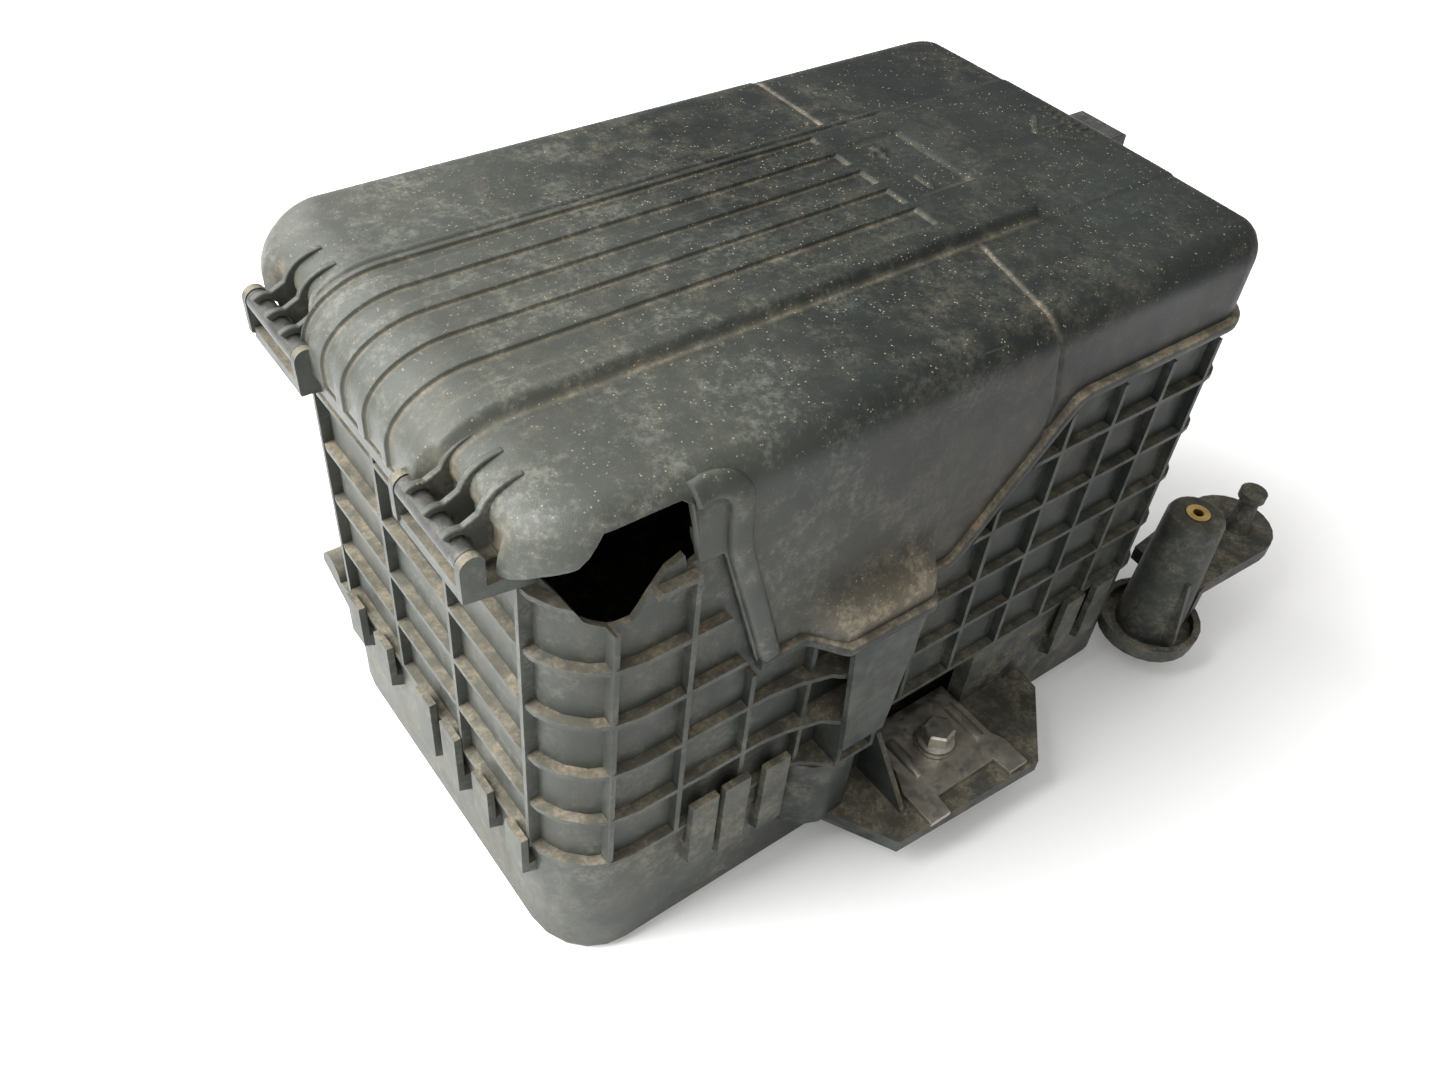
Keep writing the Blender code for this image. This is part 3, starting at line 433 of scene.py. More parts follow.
CHARCOAL = (0.010, 0.013, 0.012)
WEATHERED = (0.030, 0.034, 0.031)
tray_finish = plastic("tray_plastic_worn", CHARCOAL, WEATHERED, 0.52, amount=0.50, ledges=0.55,
                      faded_end=0.7)
surround_finish = plastic("surround_plastic_dusty", CHARCOAL, WEATHERED, 0.46, amount=0.20, ledges=0.62,
                          grains=0.2, faded_end=0.6, bloom=0.35)
lid_finish = plastic("lid_plastic_dusty", (0.006, 0.008, 0.008), (0.022, 0.026, 0.023), 0.42, amount=0.17,
                     ledges=0.0, grains=1.0, shelter_attribute="shelter", faded_end=1.0, bloom=0.55)
lip_finish = plastic("lip_plastic_dusty", (0.009, 0.011, 0.011), WEATHERED, 0.42, amount=0.25, ledges=0.7,
                     grains=0.5, far_ledges=1.5)
dark_finish = plastic("black_plastic_glossy", (0.012, 0.013, 0.014), (0.03, 0.032, 0.033), 0.36,
                      amount=0.12, ledges=0.15, grains=0.25)
print("plastics:", [m.name for m in bpy.data.materials])

# %% [markdown]
# ### Steel and brass
#
# The clamp is zinc-plated pressed steel: bright where the plating is rubbed, dull and brownish where road
# dirt has dried on it.  The dirt isn't metal, so the dust mask takes the metallic value down as it raises
# the roughness.

# %% Metal recipe
RUBBED_CLEAN, METAL_BUMP, METAL_HEIGHT = 0.7, 0.12, 0.0002


def metal(name, bright, dull, roughness, dirt, grains):
    """Metal that drifts from bright to dull, under a broken coat of dried dirt."""
    made = bpy.data.materials.new(name)
    made.use_nodes = True
    b = Board(made.node_tree)
    shader = made.node_tree.nodes["Principled BSDF"]
    where = b.node("ShaderNodeTexCoord").outputs["Object"]
    spangle = b.ramp(b.noise(where, 160.0, 4.0, 0.6), 0.35, 0.7)
    colour = b.mix(spangle, (*bright, 1), (*dull, 1))
    dust = b.group(dust_group, Amount=dirt, Ledges=dirt * 0.5, Grains=grains).outputs[0]
    rubbed = b.group(wear_group, Amount=0.9, Width=0.05).outputs[0]
    coat = b.math("SUBTRACT", dust, b.math("MULTIPLY", rubbed, RUBBED_CLEAN), clamp=True)
    b.put(shader.inputs["Base Color"], b.mix(coat, colour, TAN_DUST))
    b.put(shader.inputs["Metallic"], b.math("SUBTRACT", 1.0, coat, clamp=True))
    uneven = b.ramp(spangle, 0.0, 1.0, roughness, roughness + 0.2)
    rough = b.math("ADD", uneven, b.math("MULTIPLY", coat, DUST_ROUGHER), clamp=True)
    b.put(shader.inputs["Roughness"], rough)
    height = b.math("ADD", b.math("MULTIPLY", coat, 0.3), b.noise(where, 700.0, 3.0, 0.6))
    b.bump(shader, height, METAL_BUMP, METAL_HEIGHT)
    return made


zinc_finish = metal("zinc_plate_dirty", (0.50, 0.48, 0.43), (0.32, 0.29, 0.24), 0.34, dirt=0.30, grains=0.1)
bolt_finish = metal("bolt_zinc_dull", (0.42, 0.40, 0.36), (0.24, 0.22, 0.18), 0.38, dirt=0.40, grains=0.1)
brass_finish = metal("insert_brass_tarnished", (0.80, 0.58, 0.22), (0.52, 0.34, 0.12), 0.25, dirt=0.15,
                     grains=0.1)

# %% [markdown]
# ## Mouldings taken from the working model
#
# The tray and the surround are already the right shape, but their edges are razor sharp, and real
# mouldings never are: a sharp edge catches no light.  A copy of each mesh is merged back into one skin,
# its flat faces are joined, and a fine bevel rounds every edge, which is where most of the realism of
# injection-moulded ribs comes from.

# %% Rounded copy of a moulding
ROUND_FROM = radians(30)  # edges that turn more than this are rounded
SAME_POINT = 0.00001  # metres


def link(mesh, name, finish, body, slot, *stands_for):
    """Puts a mesh in the scene as one piece: its material, its body and what it stands for; slot is not
    used.
    """
    piece = bpy.data.objects.new(name, mesh)
    bpy.context.collection.objects.link(piece)
    mesh.materials.clear()
    mesh.materials.append(finish)
    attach(piece, body)
    if stands_for:
        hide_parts(*stands_for)
    return piece


def rounded_copy(node, name, finish, body, slot, width):
    """A merged copy of a node's mesh with every edge over ROUND_FROM rounded to the given width."""
    mesh = nodes[node].data.copy()
    work = bmesh.new()
    work.from_mesh(mesh)
    bmesh.ops.remove_doubles(work, verts=work.verts, dist=SAME_POINT)
    bmesh.ops.dissolve_limit(work, angle_limit=radians(1.0), verts=work.verts, edges=work.edges)
    work.to_mesh(mesh)
    work.free()
    if "custom_normal" in mesh.attributes:
        mesh.attributes.remove(mesh.attributes["custom_normal"])
    mesh.shade_smooth()
    piece = link(mesh, name, finish, body, slot, node)
    bevel = piece.modifiers.new("rounded", "BEVEL")
    bevel.width = width
    bevel.segments = 2
    bevel.limit_method = "ANGLE"
    bevel.angle_limit = ROUND_FROM
    bevel.harden_normals = True
    print(name, "has", len(mesh.polygons), "faces before rounding")


ROUNDED = [  # node, piece, finish, body, slot, width of the rounding in metres
    ("clamp_plate", "clamp_plate_pressed", zinc_finish, "tray", "clamp_steel", 0.0004),
    ("clamp_bolt", "clamp_bolt_forged", bolt_finish, "tray", "bolt_steel", 0.0003),
    ("tray", "tray_moulding", tray_finish, "tray", "tray_plastic", 0.0009),
    ("surround", "surround_moulding", surround_finish, "surround", "surround_plastic", 0.0005),
    ("lid_latch", "latch_moulding", dark_finish, "latch", "latch_plastic", 0.0004),
    ("hinge_bar_near", "hinge_bar_near_moulding", dark_finish, "surround", "hinge_bar_plastic", 0.0004),
    ("hinge_bar_far", "hinge_bar_far_moulding", dark_finish, "surround", "hinge_bar_plastic", 0.0004),
]
for row in ROUNDED:
    rounded_copy(*row)
kept_nodes = {"clamp_washer": zinc_finish, "clamp_nut": bolt_finish, "brass_insert": brass_finish}
for node, finish in kept_nodes.items():
    nodes[node].data.materials.clear()
    nodes[node].data.materials.append(finish)

# %% [markdown]
# ## The lid
#
# The lid is one thin moulding: a nearly flat top that rolls over into a wall on every side, with a long
# raised plateau, five channels that run off the hinge end, and a deep flap on the clamp side.  A height
# field alone can't make its walls, so the skin is two grids that share their border.  The top is a grid
# of rows and columns inside the rolled edge, and the rim is a grid of that border's points carried
# outwards and down.  Every raised or sunk detail is one function of the lid's surface laid out flat, so a
# channel runs over the rolled end without knowing that it bends.

# %% Sizes of the lid, in millimetres
def in_mm(node):
    low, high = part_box(node)
    return [c / MM for c in low], [c / MM for c in high]


lid_low, lid_high = in_mm("lid")
PLATEAU_RISE, LIP = 4.0, 3.0
LID_TOP = lid_high[2] - PLATEAU_RISE
LATCH_END, SIDE = lid_high[0] - LIP, lid_high[1] - LIP
HINGE_END = -169.0
FLAP_BOTTOM = lid_low[2]
SKIRT_BOTTOM = 201.5
SHELL = 2.4
CROWN = 0.8  # how much the top falls from its middle to the roll
HINGE_ROLL, HINGE_DROP, HINGE_ROUND = 27.0, 17.0, 29.0  # rolled edge: inwards, downwards, plan radius
LATCH_ROLL, LATCH_DROP, LATCH_ROUND = 9.0, 10.0, 15.0
SIDE_ROLL = 13.0
print("lid top at", round(LID_TOP, 1), "and its ends at", HINGE_END, round(LATCH_END, 1))

# %% [markdown]
# ### Reliefs as smooth steps
#
# A detail's outline is a product of smooth steps: each goes from 0 to 1 over a short distance, as the
# draught and the radius of a moulded edge do.  The distance is an argument, so that the same function
# worked out with a wide step gives a blurred copy.  The blurred height less the sharp one is large in
# corners and grooves, and that is where dust stays.

# %% Smooth step, band and stroke
def step(value, at, width):
    """0 before at and 1 after it, by 3t^2 - 2t^3 over the given width."""
    t = np.clip((value - at) / width + 0.5, 0, 1)
    return t * t * (3 - 2 * t)


def band(value, low, high, width):
    """1 between low and high, 0 outside."""
    return step(value, low, width) * (1 - step(value, high, width))


def stroke(x, y, start, end, thick, width):
    """1 within half of thick of the straight line from start to end."""
    ax, ay = start
    dx, dy = end[0] - ax, end[1] - ay
    t = np.clip(((x - ax) * dx + (y - ay) * dy) / (dx * dx + dy * dy), 0, 1)
    far = np.hypot(x - ax - t * dx, y - ay - t * dy)
    return 1 - step(far, thick / 2, width)


# %% The lid's reliefs
PLATEAU_NEAR, PLATEAU_FAR, PLATEAU_NOSE, NOSE_FLATNESS = -47.0, 41.5, 88.0, 180.0
NEAR_FLANK, FAR_FLANK, NOSE_FLANK = 3.8, 1.5, 1.6  # widths over which the plateau rises
CHANNELS = [(29.0, 34.5), (11.0, 20.0), (-4.5, 5.5), (-20.5, -9.5), (-36.5, -24.5)]
CHANNEL_END, CHANNEL_DEPTH = 36.0, 1.35
FAR_LINE, FAR_LINE_END, FAR_LINE_DEPTH = (37.2, 38.2), 74.0, 0.9
WINDOW_X, WINDOW_Y, WINDOW_DEPTH = (45.0, 70.0), (-20.0, 22.0), 1.3
SEAM_Y, SEAM_X = [-130, -97, -87, -50, 42, 87], [45, 36, 36.5, 45, 52, 53]
SEAM_DEPTH, SEAM_STEP = 1.3, 0.5
POLES = [((49.6, 14), (56.4, 14)), ((53, 10.6), (53, 17.4)), ((53.5, -15), (53.5, -7.5))]  # plus and minus
ARROW = [((127, 0), (137, 9.5)), ((127, 0), (138, -10.5)), ((130, -0.3), (142, -1.6))]
GRIP_BARS = [((144.6, y), (148.4, y - 0.8)) for y in [-12.5 + 4.3 * k for k in range(7)]]
STROKES = [  # lines, height, width, blur
    (POLES, 1.2, 2.0, 0.6),
    (ARROW, 0.9, 1.8, 0.7),
    (GRIP_BARS, 0.9, 1.7, 0.7),
]
POCKETS = [(-80.0, -44.0), (37.0, 71.0)]
POCKET_START, POCKET_DEPTH, POCKET_RUN = -167.0, 6.5, 16.0
HOOD_X, HOOD_TOP, HOOD_OUT = (-57.0, -6.0), 163.0, 12.5


def seam_at(y):
    """x of the groove across the lid, and 1 where it exists, beside the plateau."""
    beside = 1 - band(y, PLATEAU_NEAR - 3, PLATEAU_FAR + 1, 2.0)
    return np.interp(y, SEAM_Y, SEAM_X), beside


def pocket(x, y, soft=0.8):
    """Depth of the scooped recesses between the hinge gussets."""
    depth = 0 * x
    for near, far in POCKETS:
        depth = depth + band(y, near, far, 4 + soft) * (1 - step(x, POCKET_START, POCKET_RUN))
    return POCKET_DEPTH * depth


def relief(x, y, soft=0.8):
    """Height over the plain lid at a point of its laid-out surface; a wide soft gives the blurred copy."""
    nose = PLATEAU_NOSE - (y + 4) ** 2 / NOSE_FLATNESS
    plateau = step(y, PLATEAU_NEAR, NEAR_FLANK + soft) * (1 - step(y, PLATEAU_FAR, FAR_FLANK + soft))
    height = PLATEAU_RISE * plateau * (1 - step(x, nose, NOSE_FLANK + soft))
    for low, high in CHANNELS:
        height = height - CHANNEL_DEPTH * band(y, low, high, soft) * (1 - step(x, CHANNEL_END, soft))
    height = height - FAR_LINE_DEPTH * band(y, *FAR_LINE, soft) * (1 - step(x, FAR_LINE_END, soft))
    height = height - WINDOW_DEPTH * band(x, *WINDOW_X, soft) * band(y, *WINDOW_Y, soft)
    for lines, tall, thick, blur in STROKES:
        for start, end in lines:
            height = height + tall * stroke(x, y, start, end, thick, blur * soft)
    seam, beside = seam_at(y)
    height = height - SEAM_DEPTH * np.exp(-(((x - seam) / (0.55 + 0.45 * soft)) ** 2)) * beside
    height = height - SEAM_STEP * step(x, seam, soft) * beside
    return height - pocket(x, y, soft)


def hood(x, z):
    """How far the flap stands out over the blade."""
    return HOOD_OUT * band(x, *HOOD_X, 13.0) * (1 - step(z, HOOD_TOP, 17.0))


# %% [markdown]
# ### The two grids
#
# The rows and columns are close together only where something happens: at the channels' sides, at the
# seam and at the marks.  At a rounded corner of the top the rows end on an arc, so the border of the grid
# is the rounded outline.

# %% Rows and columns of the top
LEAST_GAP = 0.05


def thinned(values):
    """The values sorted, without those that nearly repeat the one before."""
    values = np.unique(np.round(values, 3))
    return values[np.concatenate([[True], np.diff(values) > LEAST_GAP])]


def spaced(*stretches):
    """Values from (start, end, spacing) stretches, thinned."""
    return thinned(np.concatenate([np.linspace(a, b, max(2, int(round((b - a) / gap)) + 1))
                                   for a, b, gap in stretches]))


HINGE_CENTRE = (HINGE_END + HINGE_ROUND, SIDE - HINGE_ROUND)
LATCH_CENTRE = (LATCH_END - LATCH_ROUND, SIDE - LATCH_ROUND)
quarter = np.sin(np.linspace(0, pi / 2, 11))
half_rows = np.concatenate([HINGE_CENTRE[1] + (HINGE_ROUND - SIDE_ROLL) * quarter,
                            LATCH_CENTRE[1] + (LATCH_ROUND - SIDE_ROLL) * quarter[::2]])
edges = np.array([y for channel in CHANNELS for y in channel]
                 + [PLATEAU_FAR - 0.5, PLATEAU_FAR + 0.5, sum(FAR_LINE) / 2])
beside_edges = (edges[:, None] + np.array([-0.55, -0.3, -0.12, 0.12, 0.3, 0.55])).ravel()
rows = thinned(np.concatenate([-half_rows, half_rows, beside_edges,
                               spaced((-71, -53, 1.8), (-53, -41, 0.8), (-41, 71, 2.0), (-16, 19, 1.0))]))
top_x0, top_x1 = HINGE_END + HINGE_ROLL, LATCH_END - LATCH_ROLL
columns = spaced((top_x0, -116, 3.2), (-116, -78, 1.5), (-78, 8, 3.0), (8, 33, 1.8), (33, 60, 0.8),
                 (60, 92, 1.0), (92, 125, 3.0), (125, top_x1, 0.85))
print(len(rows), "rows and", len(columns), "columns")


# %% Top grid
def corner_turn(y, centre_y, radius):
    """Cosine and sine of the turn round a plan corner at rows y: 1 and 0 along the straight part."""
    sine = np.clip((np.abs(y) - centre_y) / radius, 0, 1)
    return np.sqrt(1 - sine * sine), sine


hinge_cos, hinge_sin = corner_turn(rows, HINGE_CENTRE[1], HINGE_ROUND - SIDE_ROLL)
latch_cos, latch_sin = corner_turn(rows, LATCH_CENTRE[1], LATCH_ROUND - SIDE_ROLL)
left = HINGE_CENTRE[0] - (HINGE_ROUND - HINGE_ROLL) * hinge_cos
right = LATCH_CENTRE[0] + (LATCH_ROUND - LATCH_ROLL) * latch_cos
along = (columns - top_x0) / (top_x1 - top_x0)
grid_x = left[:, None] + (right - left)[:, None] * along[None, :]
grid_y = np.repeat(rows[:, None], len(columns), axis=1)


def crowned(y):
    """Height of the plain top: highest along the middle, so that water runs off."""
    return LID_TOP - CROWN * (y / (SIDE - SIDE_ROLL)) ** 2


grid_z = crowned(grid_y) + relief(grid_x, grid_y)

# %% [markdown]
# ### The rim
#
# From each border point the section goes out along a quarter ellipse and then straight down to the lid's
# lower edge, which is a different height at each place: high over the cable outlet, low at the flap,
# level elsewhere.  The rows of the rim share that length out evenly, so no face is pinched to nothing
# where the wall is short.

# %% Border of the top, and what the rim needs there
def around(near, latch, far, hinge):
    """Joins values along the near side, latch end, far side and hinge end into one loop."""
    return np.concatenate([near, latch[1:], far[::-1][1:], hinge[::-1][1:-1]])


NEAR_EDGE_X = [-169, -166, -160, -152, -148, -145, -118, -113.6, -112.8, -102, -81, 9, 58, 160]
NEAR_EDGE_Z = [219.5, 221, 226, 229, 234, 238.5, 238.5, 235, 212, 211,
               FLAP_BOTTOM, FLAP_BOTTOM, SKIRT_BOTTOM, SKIRT_BOTTOM]
FAR_EDGE_X, FAR_EDGE_Z = [-169, -160, -145], [219.5, 214, SKIRT_BOTTOM]
index = np.arange(grid_x.size).reshape(grid_x.shape)
border = around(index[0], index[:, -1], index[-1], index[:, 0])
inner = np.stack([grid_x.ravel()[border], grid_y.ravel()[border]], axis=1)
ones = np.ones(len(columns))
sign = np.sign(rows)
hinge_y = np.where(hinge_sin > 0, sign * (HINGE_CENTRE[1] + HINGE_ROUND * hinge_sin), rows)
latch_y = np.where(latch_sin > 0, sign * (LATCH_CENTRE[1] + LATCH_ROUND * latch_sin), rows)
hinge_outer = np.stack([HINGE_CENTRE[0] - HINGE_ROUND * hinge_cos, hinge_y], axis=1)
latch_outer = np.stack([LATCH_CENTRE[0] + LATCH_ROUND * latch_cos, latch_y], axis=1)
near_outer = np.stack([grid_x[0], -SIDE * ones], axis=1)
far_outer = np.stack([grid_x[-1], SIDE * ones], axis=1)
outer = around(near_outer, latch_outer, far_outer, hinge_outer)
drop = around(SIDE_ROLL * ones, SIDE_ROLL + (LATCH_DROP - SIDE_ROLL) * latch_cos ** 2, SIDE_ROLL * ones,
              SIDE_ROLL + (HINGE_DROP - SIDE_ROLL) * hinge_cos ** 2)
lower = np.where(outer[:, 1] < -HINGE_CENTRE[1] - 0.01, np.interp(outer[:, 0], NEAR_EDGE_X, NEAR_EDGE_Z),
                 np.interp(outer[:, 0], FAR_EDGE_X, FAR_EDGE_Z))
reach = outer - inner
reach_length = np.hypot(reach[:, 0], reach[:, 1])

# %% Rim grid
RIM_ROWS = 32
arc_length = pi / 2 * np.sqrt((reach_length ** 2 + drop ** 2) / 2)
cut_angle = np.arccos(np.clip(1 - (LID_TOP - lower) / drop, 0, 1))
straight = LID_TOP - drop - lower
total = np.where(straight < 0, arc_length * cut_angle / (pi / 2), arc_length + straight)
run = np.linspace(0, 1, RIM_ROWS + 1)[1:, None] * total[None, :]
angle = pi / 2 * np.clip(run / arc_length, 0, 1)
outward = reach / reach_length[:, None]
rim_x = inner[:, 0] + reach[:, 0] * np.sin(angle)
rim_y = inner[:, 1] + reach[:, 1] * np.sin(angle)
rim_z = crowned(inner[:, 1]) - drop * (1 - np.cos(angle)) - np.clip(run - arc_length, 0, None)
laid_x, laid_y = inner[:, 0] + outward[:, 0] * run, inner[:, 1] + outward[:, 1] * run
rise = relief(laid_x, laid_y)
tilt_out, tilt_up = np.sin(angle) / reach_length, np.cos(angle) / drop
tilt = np.hypot(tilt_out, tilt_up)
near_side = outward[:, 1] < -0.999
bulge = np.where(near_side, hood(rim_x, rim_z), 0)
rim_x = rim_x + outward[:, 0] * (rise * tilt_out / tilt + bulge)
rim_y = rim_y + outward[:, 1] * (rise * tilt_out / tilt + bulge)
rim_z = rim_z + rise * tilt_up / tilt


# %% The lid's skin
DUST_REACH = 3.5  # the blur, in millimetres, that finds the sheltered places
SEAM_DUST, POCKET_DUST, HOOD_DUST, FLAP_FILM = 0.85, 0.9, 0.8, 0.15


def skin_mesh(name, points, faces, shelter):
    """A mesh from millimetre points, with the attribute that says where dust is packed."""
    mesh = bpy.data.meshes.new(name)
    mesh.from_pydata((points * MM).tolist(), [], faces.tolist())
    packed = mesh.attributes.new("shelter", "FLOAT", "POINT")
    packed.data.foreach_set("value", shelter.astype(np.float32))
    mesh.shade_smooth()
    return mesh


top_points = np.stack([grid_x, grid_y, grid_z], axis=-1).reshape(-1, 3)
rim_points = np.stack([rim_x, rim_y, rim_z], axis=-1).reshape(-1, 3)
top_corners = [index[:-1, :-1], index[:-1, 1:], index[1:, 1:], index[1:, :-1]]
top_faces = np.stack(top_corners, axis=-1).reshape(-1, 4)
loops = np.vstack([border, len(top_points) + np.arange(RIM_ROWS * len(border)).reshape(RIM_ROWS, -1)])
after = np.roll(loops, -1, axis=1)
rim_faces = np.stack([loops[:-1], loops[1:], after[1:], after[:-1]], axis=-1).reshape(-1, 4)


def shelter_of(x, y):
    """Blurred height less sharp height, little of it on the flank, with the seam and the pocket floors."""
    flank = band(y, PLATEAU_NEAR - 1.5, PLATEAU_NEAR + 4, 2.5)
    cavity = (relief(x, y, DUST_REACH) - relief(x, y)) * (1 - 0.8 * flank)
    towards_hinge = np.clip((40 - x) / 180, 0, 1)
    seam, beside = seam_at(y)
    packed = SEAM_DUST * np.exp(-(((x - seam) / 1.1) ** 2)) * beside * step(y, -SIDE, 10)
    floor = POCKET_DUST * np.clip(pocket(x, y) / POCKET_DEPTH, 0, 1)
    return np.clip(cavity * (0.8 + 0.5 * towards_hinge), 0, 1) + packed + floor


hood_dust = HOOD_DUST * np.clip(bulge / HOOD_OUT, 0, 1) * step(rim_z, 152, 8)
flap_film = np.where(near_side, FLAP_FILM * band(rim_x, -70, 75, 70) * (1 - step(rim_z, 205, 60)), 0)
rim_shelter = np.clip(shelter_of(laid_x, laid_y) + hood_dust + flap_film, 0, 1)
shelter = np.concatenate([np.clip(shelter_of(grid_x, grid_y), 0, 1).ravel(), rim_shelter.ravel()])
lid_points, lid_faces = np.vstack([top_points, rim_points]), np.vstack([top_faces, rim_faces])
lid_mesh = skin_mesh("lid_skin", lid_points, lid_faces, shelter)
lid_skin = link(lid_mesh, "lid_skin", lid_finish, "lid", "lid_plastic", "lid")
wall = lid_skin.modifiers.new("wall", "SOLIDIFY")
wall.thickness = SHELL * MM
wall.offset = -1.0
print("lid skin:", len(lid_mesh.polygons), "faces before it gets its thickness")

# %% [markdown]
# ### Borders of the lid
#
# The flap is stiffened by a rolled border: a fat one down its slanted side, and a thin lip along its
# lower edge, up the other slant and round the box.  Both are a round-backed section carried along a path.
# At each point of the path the section stands on the wall: one axis is the wall's outward direction, the
# other is square to the path.

# %% A section carried along a path
def closed_mesh(name, points, faces, sharp):
    """A mesh from millimetre points, its faces turned outwards, smooth but for edges over sharp degrees."""
    mesh = bpy.data.meshes.new(name)
    mesh.from_pydata((points * MM).tolist(), [], faces)
    work = bmesh.new()
    work.from_mesh(mesh)
    bmesh.ops.recalc_face_normals(work, faces=work.faces)
    work.to_mesh(mesh)
    work.free()
    mesh.shade_smooth()
    mesh.set_sharp_from_angle(angle=radians(sharp))
    return mesh


def carried(path, outward, section, name):
    """A closed tube: section points (across, out) placed at each path point, with flat ends."""
    path, outward = np.asarray(path, float), np.asarray(outward, float)
    ahead = np.gradient(path, axis=0)
    ahead /= np.linalg.norm(ahead, axis=1)[:, None]
    across = np.cross(outward, ahead)
    across /= np.linalg.norm(across, axis=1)[:, None]
    section = np.asarray(section, float)
    points = path[:, None] + across[:, None] * section[None, :, :1] + outward[:, None] * section[None, :, 1:]
    count, sides = len(path), len(section)
    index = np.arange(count * sides).reshape(count, sides)
    after = np.roll(index, -1, axis=1)
    faces = np.stack([index[:-1], index[1:], after[1:], after[:-1]], axis=-1).reshape(-1, 4).tolist()
    faces += [index[0].tolist(), index[-1][::-1].tolist()]
    return closed_mesh(name, points.reshape(-1, 3), faces, 50)


def smoothed(points, count, blur):
    """Points at even distances along a polyline, its corners rounded by averaging over blur neighbours."""
    points = np.asarray(points, float)
    walked = np.concatenate([[0], np.cumsum(np.linalg.norm(np.diff(points, axis=0), axis=1))])
    even = np.linspace(0, walked[-1], count)
    path = np.stack([np.interp(even, walked, points[:, k]) for k in range(points.shape[1])], axis=1)
    padded = np.pad(path, ((blur, blur), (0, 0)), mode="reflect", reflect_type="odd")
    kernel = np.ones(2 * blur + 1) / (2 * blur + 1)
    return np.stack([np.convolve(column, kernel, mode="valid") for column in padded.T], axis=1)


def dome(width, out, back, steps=9):
    """A round-backed section: half a superellipse of the given width and height, closed behind the wall."""
    turn = np.linspace(0, pi, steps)
    x = width / 2 * np.sign(np.cos(turn)) * np.abs(np.cos(turn)) ** 0.6
    top = np.stack([x, out * np.sin(turn) ** 0.6], axis=1)
    return np.concatenate([top, [(-width / 2, -back), (width / 2, -back)]])


# %% Fat border and thin lip
FAT_LINE = [(-114.5, 237.5), (-105, 238.6), (-98.5, 234.5), (-97.5, 212), (-77.6, 148.5)]  # (x, z)
FAT_WIDTH, FAT_OUT, FAT_BACK = 8.6, 3.0, 2.0
LIP_WIDTH, LIP_OUT, LIP_BACK = 5.2, LIP - 0.1, 1.5
FLAP_MIDDLE, SKIRT_MIDDLE = FLAP_BOTTOM + 2.6, SKIRT_BOTTOM + 2.7  # height of the lip's middle
LIP_LINE = [(-82, FLAP_MIDDLE), (9, FLAP_MIDDLE), (58.5, SKIRT_MIDDLE), (LATCH_CENTRE[0], SKIRT_MIDDLE)]
LIP_STEPS, FAR_STEPS = 240, 60

fat = smoothed(FAT_LINE, 70, 3)
lean = np.arccos(np.clip(1 - (LID_TOP - CROWN - fat[:, 1]) / SIDE_ROLL, 0, 1))
fat_path = np.stack([fat[:, 0], -SIDE + SIDE_ROLL * (1 - np.sin(lean)), fat[:, 1]], axis=1)
fat_out = np.stack([0 * lean, -np.sin(lean), np.cos(lean)], axis=1)
fat_mesh = carried(fat_path, fat_out, dome(FAT_WIDTH, FAT_OUT, FAT_BACK), "flap_border")
link(fat_mesh, "flap_border", lid_finish, "lid", "lid_plastic")

lip_line = smoothed(LIP_LINE, LIP_STEPS, 4)
flap_lip = np.stack([lip_line[:, 0], -SIDE - hood(lip_line[:, 0], lip_line[:, 1]), lip_line[:, 1]], axis=1)
turn = np.linspace(-pi / 2, 0, 12)[1:]
turned = np.stack([np.cos(turn), np.sin(turn), 0 * turn], axis=1)
near_corner = (LATCH_CENTRE[0], -LATCH_CENTRE[1], SKIRT_MIDDLE) + LATCH_ROUND * turned
far_corner = near_corner[::-1] * (1, -1, 1)
far_x = np.linspace(LATCH_CENTRE[0], HINGE_CENTRE[0] + 18, FAR_STEPS)
far_run = np.stack([far_x, 0 * far_x + SIDE, 0 * far_x + SKIRT_MIDDLE], axis=1)
lip_path = np.vstack([flap_lip, near_corner, far_corner, far_run])
lip_out = np.vstack([np.tile([0, -1, 0], (LIP_STEPS, 1)), turned, turned[::-1] * (1, -1, 1),
                     np.tile([0, 1, 0], (FAR_STEPS, 1))])
lip_mesh = carried(lip_path, lip_out, dome(LIP_WIDTH, LIP_OUT, LIP_BACK), "lid_lip")
link(lip_mesh, "lid_lip", lip_finish, "lid", "lid_plastic")
print("border and lip:", len(fat_mesh.polygons), "and", len(lip_mesh.polygons), "faces")

# %% [markdown]
# ### Hinge gussets
#
# Three thin fins cross each pocket and carry the hooks that turn on the hinge bar.  A fin is a plate, so
# its outline is worked out once: over the hook's back, round under the bar, and home along the pocket's
# floor.  The top edge is an arch a little proud of the lid's roll.

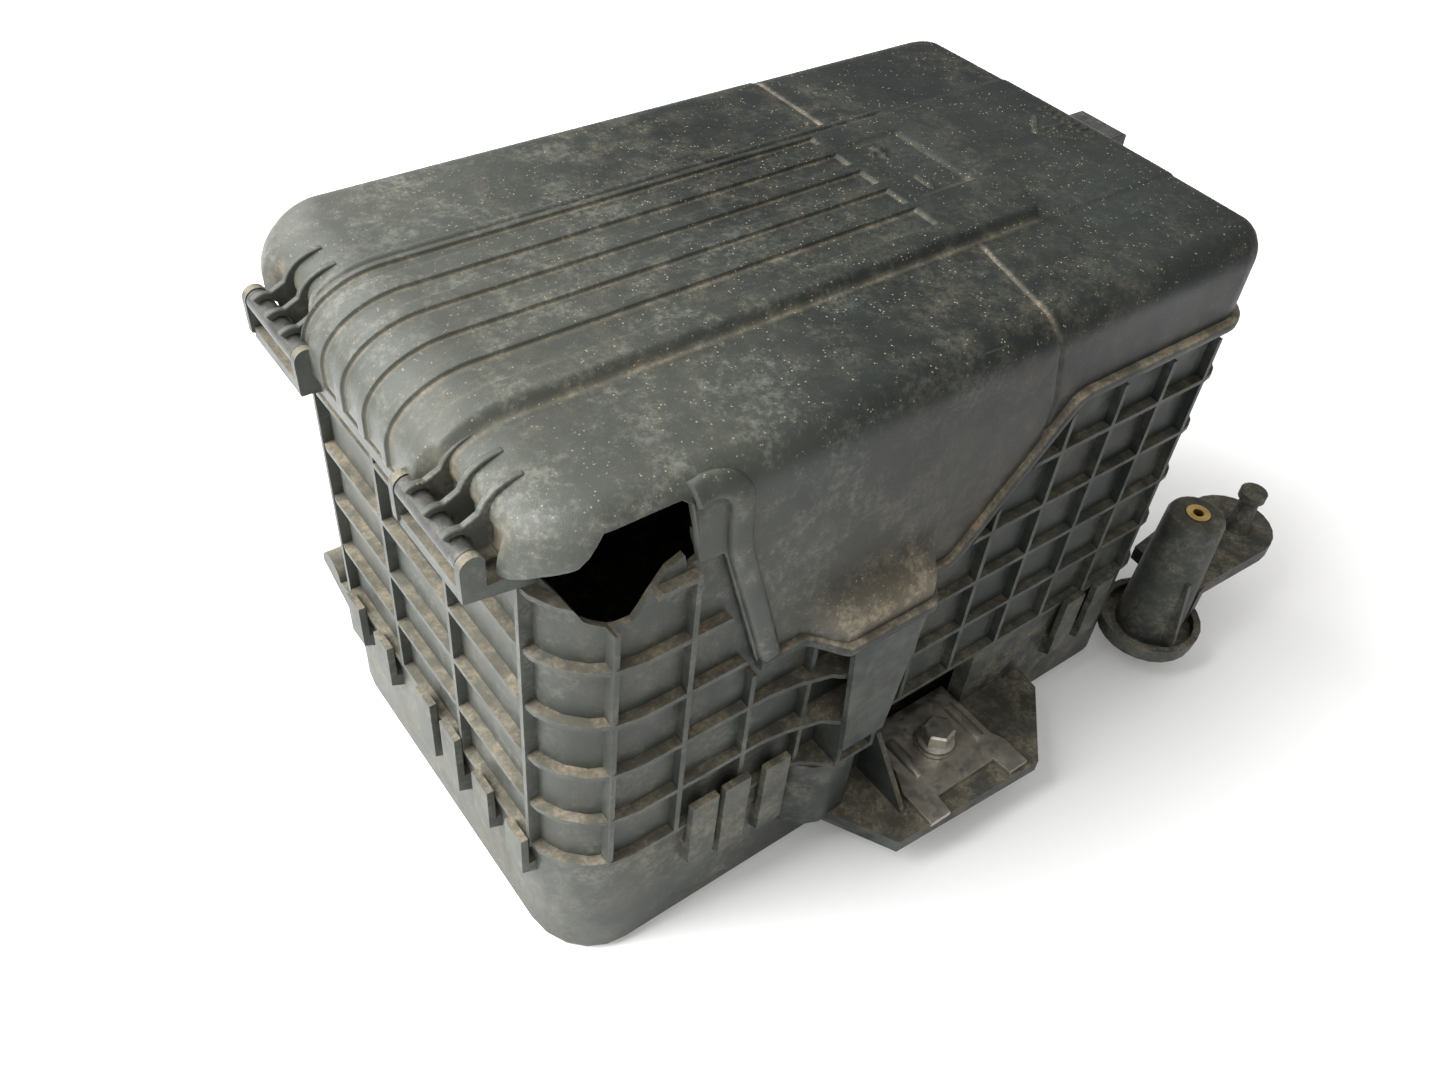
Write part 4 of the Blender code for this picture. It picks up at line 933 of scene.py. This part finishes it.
# %% Gussets with their hooks
lid_hinge = next(joint for joint in frame["joints"] if joint["name"] == "lid_hinge")
HINGE_AXIS = (lid_hinge["pos_m"][0] / MM, lid_hinge["pos_m"][2] / MM)
HOOK_INSIDE, HOOK_OUTSIDE = 4.5, 6.9  # radii round the hinge bar
GUSSET_FOOT = [(-166.5, 220.5), (-159.5, 222.0), (-158.0, 232.0), (-152.0, 238.0)]
GUSSET_THICK, GUSSET_ARCH, GUSSET_ROUND = 2.4, 1.3, 0.5
GUSSET_PLACES = [-69.0, -58.0, -47.0, 39.0, 50.0, 61.0]


def circle_arc(centre, radius, start, end, count):
    """Points on a circle, from one angle to another, in degrees."""
    turn = np.radians(np.linspace(start, end, count))
    return np.stack([centre[0] + radius * np.cos(turn), centre[1] + radius * np.sin(turn)], axis=1)


def gusset_outline():
    """Hook's outside, hook's inside, then the fin's foot and its arched top edge, in (x, z)."""
    lean = np.radians(np.linspace(66, 22, 12))
    arch = GUSSET_ARCH * np.sin(np.linspace(0, pi, 12))
    top = np.stack([HINGE_END + HINGE_ROLL - (HINGE_ROLL + arch) * np.sin(lean),
                    LID_TOP - HINGE_DROP + (HINGE_DROP + arch) * np.cos(lean)], axis=1)
    hook_out = circle_arc(HINGE_AXIS, HOOK_OUTSIDE, 70, 128, 8)
    hook_in = circle_arc(HINGE_AXIS, HOOK_INSIDE, 128, -55, 16)
    return np.vstack([hook_out, hook_in, GUSSET_FOOT, top[::-1]])


def plates(outline, places, thick, name):
    """One plate for each place along Y, all from the same outline in (x, z)."""
    count = len(outline)
    ring = np.arange(count)
    after = np.roll(ring, -1)
    points, faces = [], []
    for number, place in enumerate(places):
        for side in (-thick / 2, thick / 2):
            points.append(np.stack([outline[:, 0], np.full(count, place + side), outline[:, 1]], axis=1))
        base = 2 * count * number
        faces += (base + np.stack([ring, after, after + count, ring + count], axis=1)).tolist()
        faces += [(base + ring[::-1]).tolist(), (base + count + ring).tolist()]
    return closed_mesh(name, np.vstack(points), faces, 35)


gusset_mesh = plates(gusset_outline(), GUSSET_PLACES, GUSSET_THICK, "hinge_gussets")
gussets = link(gusset_mesh, "hinge_gussets", lid_finish, "lid", "lid_plastic")
soft_edge = gussets.modifiers.new("rounded", "BEVEL")
soft_edge.width, soft_edge.segments, soft_edge.limit_method = GUSSET_ROUND * MM, 2, "ANGLE"
print("gussets:", len(GUSSET_PLACES))
